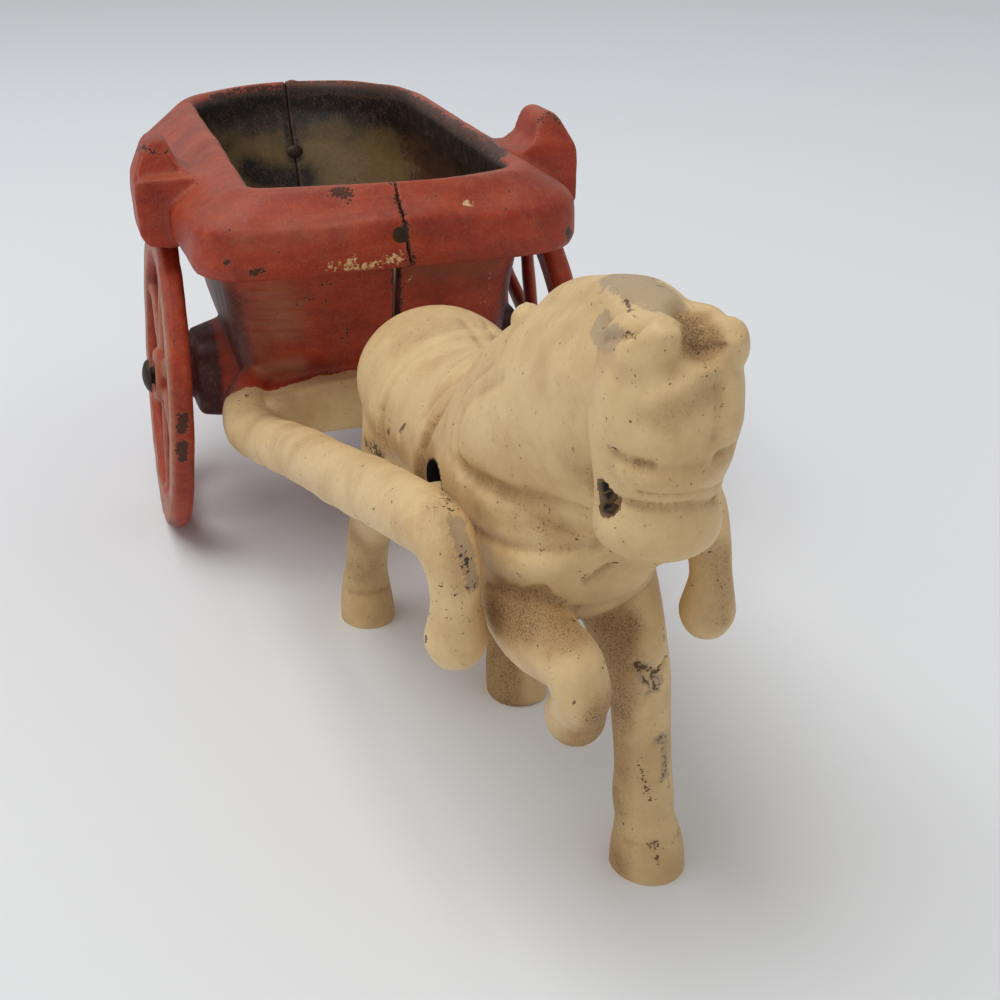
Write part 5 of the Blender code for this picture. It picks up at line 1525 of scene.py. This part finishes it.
class ToyColours(bpy.types.PropertyGroup):
    """Colours of the paints, the iron and the dirt, and of the painted shade and sheen."""
    red: colour_property("Red", "Red paint of the cart", (0.40, 0.048, 0.016))
    red_dark: colour_property("Dark Red", "Red paint where it has darkened", (0.24, 0.026, 0.013))
    # Dust and painted sheen: pale red for dusty patches, lit upward faces and the lip's highlight
    dust_and_sheen: colour_property("Faded", "Red paint faded and dusty", (0.38, 0.15, 0.085))
    # Painted shade: the red as dark as it looks in shadow behind the wheels
    shade: colour_property("Shade", "Blackened red behind the wheels", (0.036, 0.007, 0.007))
    cream: colour_property("Cream", "Cream paint of the horse", (0.73, 0.53, 0.268))
    cream_dark: colour_property("Dark Cream", "Cream paint where it has aged", (0.60, 0.40, 0.19))
    grey: colour_property("Grey", "Cream paint greyed by handling", (0.42, 0.315, 0.19))
    iron: colour_property("Iron", "Bare iron under the paint", (0.030, 0.022, 0.016))
    rust: colour_property("Rust", "Brown of the bare iron", (0.10, 0.055, 0.030))
    # Painted shade: the nearly black inside of the tub and of the horse's holes
    deep_shade: colour_property("Soot", "Blackened inside of the tub", (0.010, 0.007, 0.005))
    # On the horse this brown also carries painted shade between and low on the legs
    dirt: colour_property("Dirt", "Brown dirt on the cream paint", (0.30, 0.155, 0.060))
    mud: colour_property("Mud", "Brown dirt on the red paint", (0.24, 0.115, 0.065))
    # Its stipples also fall where shade is painted on the horse
    soil: colour_property("Soil", "Darkest dirt, in stipples", (0.085, 0.045, 0.019))
    dust: colour_property("Dust", "Pale rubbed film on raised places", (0.50, 0.27, 0.17))
    olive: colour_property("Olive", "Yellow brown stain inside the tub", (0.15, 0.095, 0.034))
    stain: colour_property("Stain", "Red brown stain inside the tub", (0.085, 0.030, 0.020))


class StudioLook(bpy.types.PropertyGroup):
    """Light and ground of the studio."""
    key_power: FloatProperty(name="Key Light", description="Power of the large soft light",
                             default=4.4, subtype="POWER", unit="POWER")
    fill_strength: FloatProperty(name="Fill", description="Strength of the even light all round",
                                 default=0.50)
    ground: colour_property("Ground", "Colour of the floor", (0.80, 0.815, 0.83))
    far_ground: colour_property("Far Ground", "Colour of the floor far behind the toy",
                                (0.80, 0.84, 0.88))
    backdrop: colour_property("Backdrop", "Colour seen past the floor", (0.597, 0.624, 0.651))


class TOY_OT_paints(bpy.types.Operator):
    """Make the wear effects and the paint and iron materials"""
    bl_idname = "toy.paints"
    bl_label = "Paints and Iron"

    def execute(self, context):
        colours = context.scene.toy_colours
        sand_cast_group()
        chipped_paint_group()
        speckle_group()
        grime_group()
        brushed_group()
        painted("cart_paint", colours, CART_WEAR, is_cart=True)
        painted("horse_paint", colours, HORSE_WEAR, is_cart=False)
        worn_iron("worn_iron", colours)
        return {"FINISHED"}


class TOY_OT_cart(bpy.types.Operator):
    """Cast the two halves of the cart"""
    bl_idname = "toy.cart"
    bl_label = "Cart Castings"

    def execute(self, context):
        sizes = context.scene.toy_sizes
        bm = bmesh.new()
        tub(bm, sizes)
        axle_end = WHEEL_OUTER - sizes.wheel_thickness / MM / 2 - HUB_LENGTH / 2 - BOSS_GAP
        for side, _ in SIDES:
            arm(bm, side, sizes)
            axle_boss(bm, side, axle_end)
            shaft(bm, side, sizes)
        crossbar(bm)
        tube = AXLE_TUBE_DIAMETER / 2
        turned(bm, (0, -BODY_WIDTH / 2, AXLE_HEIGHT), (0, BODY_WIDTH / 2, AXLE_HEIGHT),
               [(0, tube), (BODY_WIDTH, tube)])
        whole = melt("cart", bm, CART_VOXEL, 3)
        press(whole.data, CART_STROKES)
        dent(whole.data, 0.16, 14.0, 3)
        cart_marks(whole.data, sizes)
        for side, name in SIDES:
            self.half(whole, side, name, sizes)
        bpy.data.objects.remove(whole, do_unlink=True)
        return {"FINISHED"}

    def half(self, whole, side, name, sizes):
        mesh = whole.data.copy()
        gap = sizes.seam_gap / MM / 2
        points = points_of(mesh)
        points[:, 1] -= seam_drift(points)
        set_points(mesh, points)
        slice_off(mesh, (0, side * gap, 0), (0, side, 0))
        points = points_of(mesh)
        on_seam = np.abs(points[:, 1]) < gap + 0.01
        points -= normals_of(mesh) * (on_seam * SEAM_GROOVE)[:, None] * (1.0, 0.0, 1.0)
        x, y, z = points.T
        below_lip = (x > 15) & (x < BODY_FRONT + 12) & (z < LIP_Z + 1) & (z > BODY_Z + 1)
        points[:, 1] += side * SEAM_OPENING * below_lip * ease(SEAM_OPENING_WIDTH, 0.0, np.abs(y))
        points[:, 1] += seam_drift(points)
        set_points(mesh, points)
        item = link("cart_casting_" + name, mesh)
        to_frame(item, CAST_CREASE)
        finish(item, "cart", ["cart_" + name + "_half"],
               bpy.data.materials["cart_paint"])


class TOY_OT_horse(bpy.types.Operator):
    """Cast the horse with its harness"""
    bl_idname = "toy.horse"
    bl_label = "Horse Casting"

    def execute(self, context):
        sizes = context.scene.toy_sizes
        bm = bmesh.new()
        barrel_and_neck(bm, sizes)
        head(bm)
        mane(bm)
        tail(bm)
        ears(bm)
        legs(bm)
        harness(bm, sizes)
        item = melt("horse_casting", bm, HORSE_VOXEL, 4)
        strokes = [*both_sides(HORSE_SIDE_STROKES), *HORSE_STROKES]
        press(item.data, strokes, (PEG_FORWARD, 0.0, PEG_HEIGHT))
        dent(item.data, 0.09, 9.0, 7)
        slice_off(item.data, (0, 0, 0), (0, 0, 1))
        radius = PEG_HOLE_DIAMETER / 2
        x = PEG_FORWARD - PEG_HOLE_SET_BACK
        z = PEG_HEIGHT + PEG_HOLE_RISE
        for side, _ in SIDES:
            hole = bmesh.new()
            turned(hole, (x, side * PEG_HOLE_FLOOR, z), (x, side * PEG_HOLE_MOUTH, z),
                   [(0, radius), (PEG_HOLE_MOUTH - PEG_HOLE_FLOOR, radius)])
            cut(item, hole)
        horse_marks(item.data)
        to_frame(item, CAST_CREASE)
        finish(item, "horse", ["horse_right_half", "horse_left_half"],
               bpy.data.materials["horse_paint"])
        return {"FINISHED"}


class TOY_OT_wheels(bpy.types.Operator):
    """Cast the two wheels"""
    bl_idname = "toy.wheels"
    bl_label = "Wheels"

    def execute(self, context):
        sizes = context.scene.toy_sizes
        for side, name in SIDES:
            bm, centre = wheel(side, sizes)
            item = melt("wheel_casting_" + name, bm, WHEEL_VOXEL, 3)
            mesh = item.data
            self.marks(mesh, side)
            lean = Matrix.Rotation(side * sizes.wheel_lean, 4, "X")
            mesh.transform(Matrix.Translation(centre) @ lean @ Matrix.Translation(-centre))
            to_frame(item, CAST_CREASE)
            finish(item, name + "_wheel", ["wheel_" + name],
                   bpy.data.materials["cart_paint"])
        return {"FINISHED"}

    def marks(self, mesh, side):
        """Edge wear, the paler outer face with dust and painted sheen, and the right wheel's chips.
        """
        points = points_of(mesh)
        normals = normals_of(mesh)
        dent(mesh, 0.08, 6.0, 12 + side)
        mark_relief(mesh, 8, 0.35)
        outward = ease(0.5, 0.9, side * normals[:, 1])
        patches = ease(-0.9, 0.5, lumps(points, 12.0, 15 + side))
        # Dust and painted sheen on the outer face
        set_marks(mesh, "dust_and_sheen", outward * (0.45 + 0.5 * patches))
        set_marks(mesh, "grime_and_shade", 0.35 * ease(0.2, 0.7, lumps(points, 7.0, 19)) * outward)
        if side == RIGHT:
            set_marks(mesh, "bare_and_hole_shade", stained(mesh, WHEEL_BARE))


class TOY_OT_hardware(bpy.types.Operator):
    """Make the axle and the rivets"""
    bl_idname = "toy.hardware"
    bl_label = "Axle and Rivets"

    def execute(self, context):
        iron = bpy.data.materials["worn_iron"]
        cream = bpy.data.materials["horse_paint"]
        end = AXLE_REACH - AXLE_HEAD_HEIGHT
        bm = bmesh.new()
        domed_bar(bm, (0, -end, AXLE_HEIGHT), (0, end, AXLE_HEIGHT), AXLE_BAR)
        hardware("axle_bar", bm, "cart", ["axle"], iron)
        for node_name, both in (("cart_front_rivet", False), ("cart_rear_rivet", True)):
            low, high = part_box(node_name)
            z = (low[2] + high[2]) / 2 / MM
            front = high[0] / MM - AXLE_X
            back = low[0] / MM - AXLE_X
            tall = RIVET_HEAD_HEIGHT
            bm = bmesh.new()
            if both:
                domed_bar(bm, (back + tall, 0, z), (front - tall, 0, z), RIVET_BAR)
            else:
                domed_bar(bm, (front - tall, 0, z), (back, 0, z), RIVET_BAR, both_heads=False)
            hardware(node_name + "_dome", bm, "cart", [node_name], iron)
        for node_name, (x, z, reach) in (("horse_flank_rivet", FLANK_RIVET),
                                         ("horse_chest_rivet", CHEST_RIVET)):
            bm = bmesh.new()
            x += PEG_FORWARD
            z += PEG_HEIGHT
            domed_bar(bm, (x, -reach, z), (x, reach, z), RIVET_BAR)
            hardware(node_name + "_dome", bm, "horse", [node_name], cream)
        return {"FINISHED"}


class TOY_OT_studio(bpy.types.Operator):
    """Set up the floor, the lights, the world and the camera"""
    bl_idname = "toy.studio"
    bl_label = "Studio"

    def execute(self, context):
        look = context.scene.toy_studio
        context.scene.view_settings.view_transform = "Standard"
        self.floor(look)
        self.world(context, look)
        self.light(look)
        self.camera(context)
        return {"FINISHED"}

    def floor(self, look):
        bm = bmesh.new()
        bmesh.ops.create_circle(bm, cap_ends=True, radius=FLOOR_RADIUS, segments=64)
        mesh = mesh_from("floor", bm)
        item = link("floor", mesh)
        mat, tree, shader, where = new_material("paper_floor")
        forward = node(tree, "ShaderNodeSeparateXYZ", {"Vector": where}).outputs["X"]
        far = maths(tree, "ADD", remap(tree, forward, FAR_FLOOR_START, FAR_FLOOR_END),
                    remap(tree, noise(tree, where, 60.0), 0.3, 0.7, 0.0, 0.05))
        colour = blend_colour(tree, far, look.ground, look.far_ground)
        tree.links.new(colour, shader.inputs["Base Color"])
        shader.inputs["Roughness"].default_value = 0.9
        shader.inputs["Specular IOR Level"].default_value = 0.1
        mesh.materials.append(mat)

    def world(self, context, look):
        made = bpy.data.worlds.new("studio")
        made.use_nodes = True
        context.scene.world = made
        tree = made.node_tree
        lit = tree.nodes["Background"]
        lit.inputs["Color"].default_value = (1.0, 1.0, 1.0, 1.0)
        lit.inputs["Strength"].default_value = look.fill_strength
        seen = node(tree, "ShaderNodeBackground", {"Color": (*look.backdrop, 1), "Strength": 1.0})
        rays = node(tree, "ShaderNodeLightPath").outputs
        mix = node(tree, "ShaderNodeMixShader", {0: rays["Is Camera Ray"],
                                                 1: lit.outputs["Background"],
                                                 2: seen.outputs["Background"]})
        tree.links.new(mix.outputs[0], tree.nodes["World Output"].inputs["Surface"])

    def light(self, look):
        lamp = bpy.data.lights.new("key_light", "AREA")
        lamp.energy = look.key_power
        lamp.size = KEY_LIGHT_SIZE
        item = link("key_light", lamp)
        item.location = KEY_LIGHT_PLACE
        item.rotation_euler = (-Vector(KEY_LIGHT_PLACE)).to_track_quat("-Z", "Y").to_euler()

    def camera(self, context):
        yaw, pitch, roll = CAMERA_YAW, CAMERA_PITCH, CAMERA_ROLL
        ahead = Vector((-math.cos(yaw) * math.cos(pitch), math.sin(yaw) * math.cos(pitch),
                        -math.sin(pitch)))
        level = ahead.cross(Vector((0, 0, 1))).normalized()
        upright = level.cross(ahead)
        across = math.cos(roll) * level + math.sin(roll) * upright
        above = -math.sin(roll) * level + math.cos(roll) * upright
        turn = Matrix((across, above, -ahead)).transposed().to_4x4()
        turn.translation = place(*CAMERA_PLACE)
        lens = bpy.data.cameras.new("camera")
        lens.sensor_width = CAMERA_SENSOR
        lens.sensor_fit = "HORIZONTAL"
        lens.lens = CAMERA_LENS
        lens.clip_start = 0.001
        item = link("camera", lens)
        item.matrix_world = turn
        context.scene.camera = item


class TOY_PT_panel(bpy.types.Panel):
    """The toy's operators and settings"""
    bl_idname = "TOY_PT_panel"
    bl_label = "Cast Iron Toy"
    bl_space_type = "VIEW_3D"
    bl_region_type = "UI"
    bl_category = "Toy"

    def draw(self, context):
        for operator in OPERATORS:
            self.layout.operator(operator.bl_idname)
        for settings in (context.scene.toy_sizes, context.scene.toy_colours,
                         context.scene.toy_studio):
            box = self.layout.box()
            for key in settings.__annotations__:
                box.prop(settings, key)


GROUPS = (("toy_sizes", ToySizes), ("toy_colours", ToyColours), ("toy_studio", StudioLook))
OPERATORS = (TOY_OT_paints, TOY_OT_cart, TOY_OT_horse, TOY_OT_wheels, TOY_OT_hardware,
             TOY_OT_studio)


def register():
    for name, group in GROUPS:
        bpy.utils.register_class(group)
        setattr(bpy.types.Scene, name, PointerProperty(type=group))
    for operator in OPERATORS:
        bpy.utils.register_class(operator)
    bpy.utils.register_class(TOY_PT_panel)


def unregister():
    bpy.utils.unregister_class(TOY_PT_panel)
    for operator in reversed(OPERATORS):
        bpy.utils.unregister_class(operator)
    for name, group in reversed(GROUPS):
        delattr(bpy.types.Scene, name)
        bpy.utils.unregister_class(group)


def main():
    register()
    bpy.ops.toy.paints()
    bpy.ops.toy.cart()
    bpy.ops.toy.horse()
    bpy.ops.toy.wheels()
    bpy.ops.toy.hardware()
    bpy.ops.toy.studio()


if __name__ == "__main__":
    main()
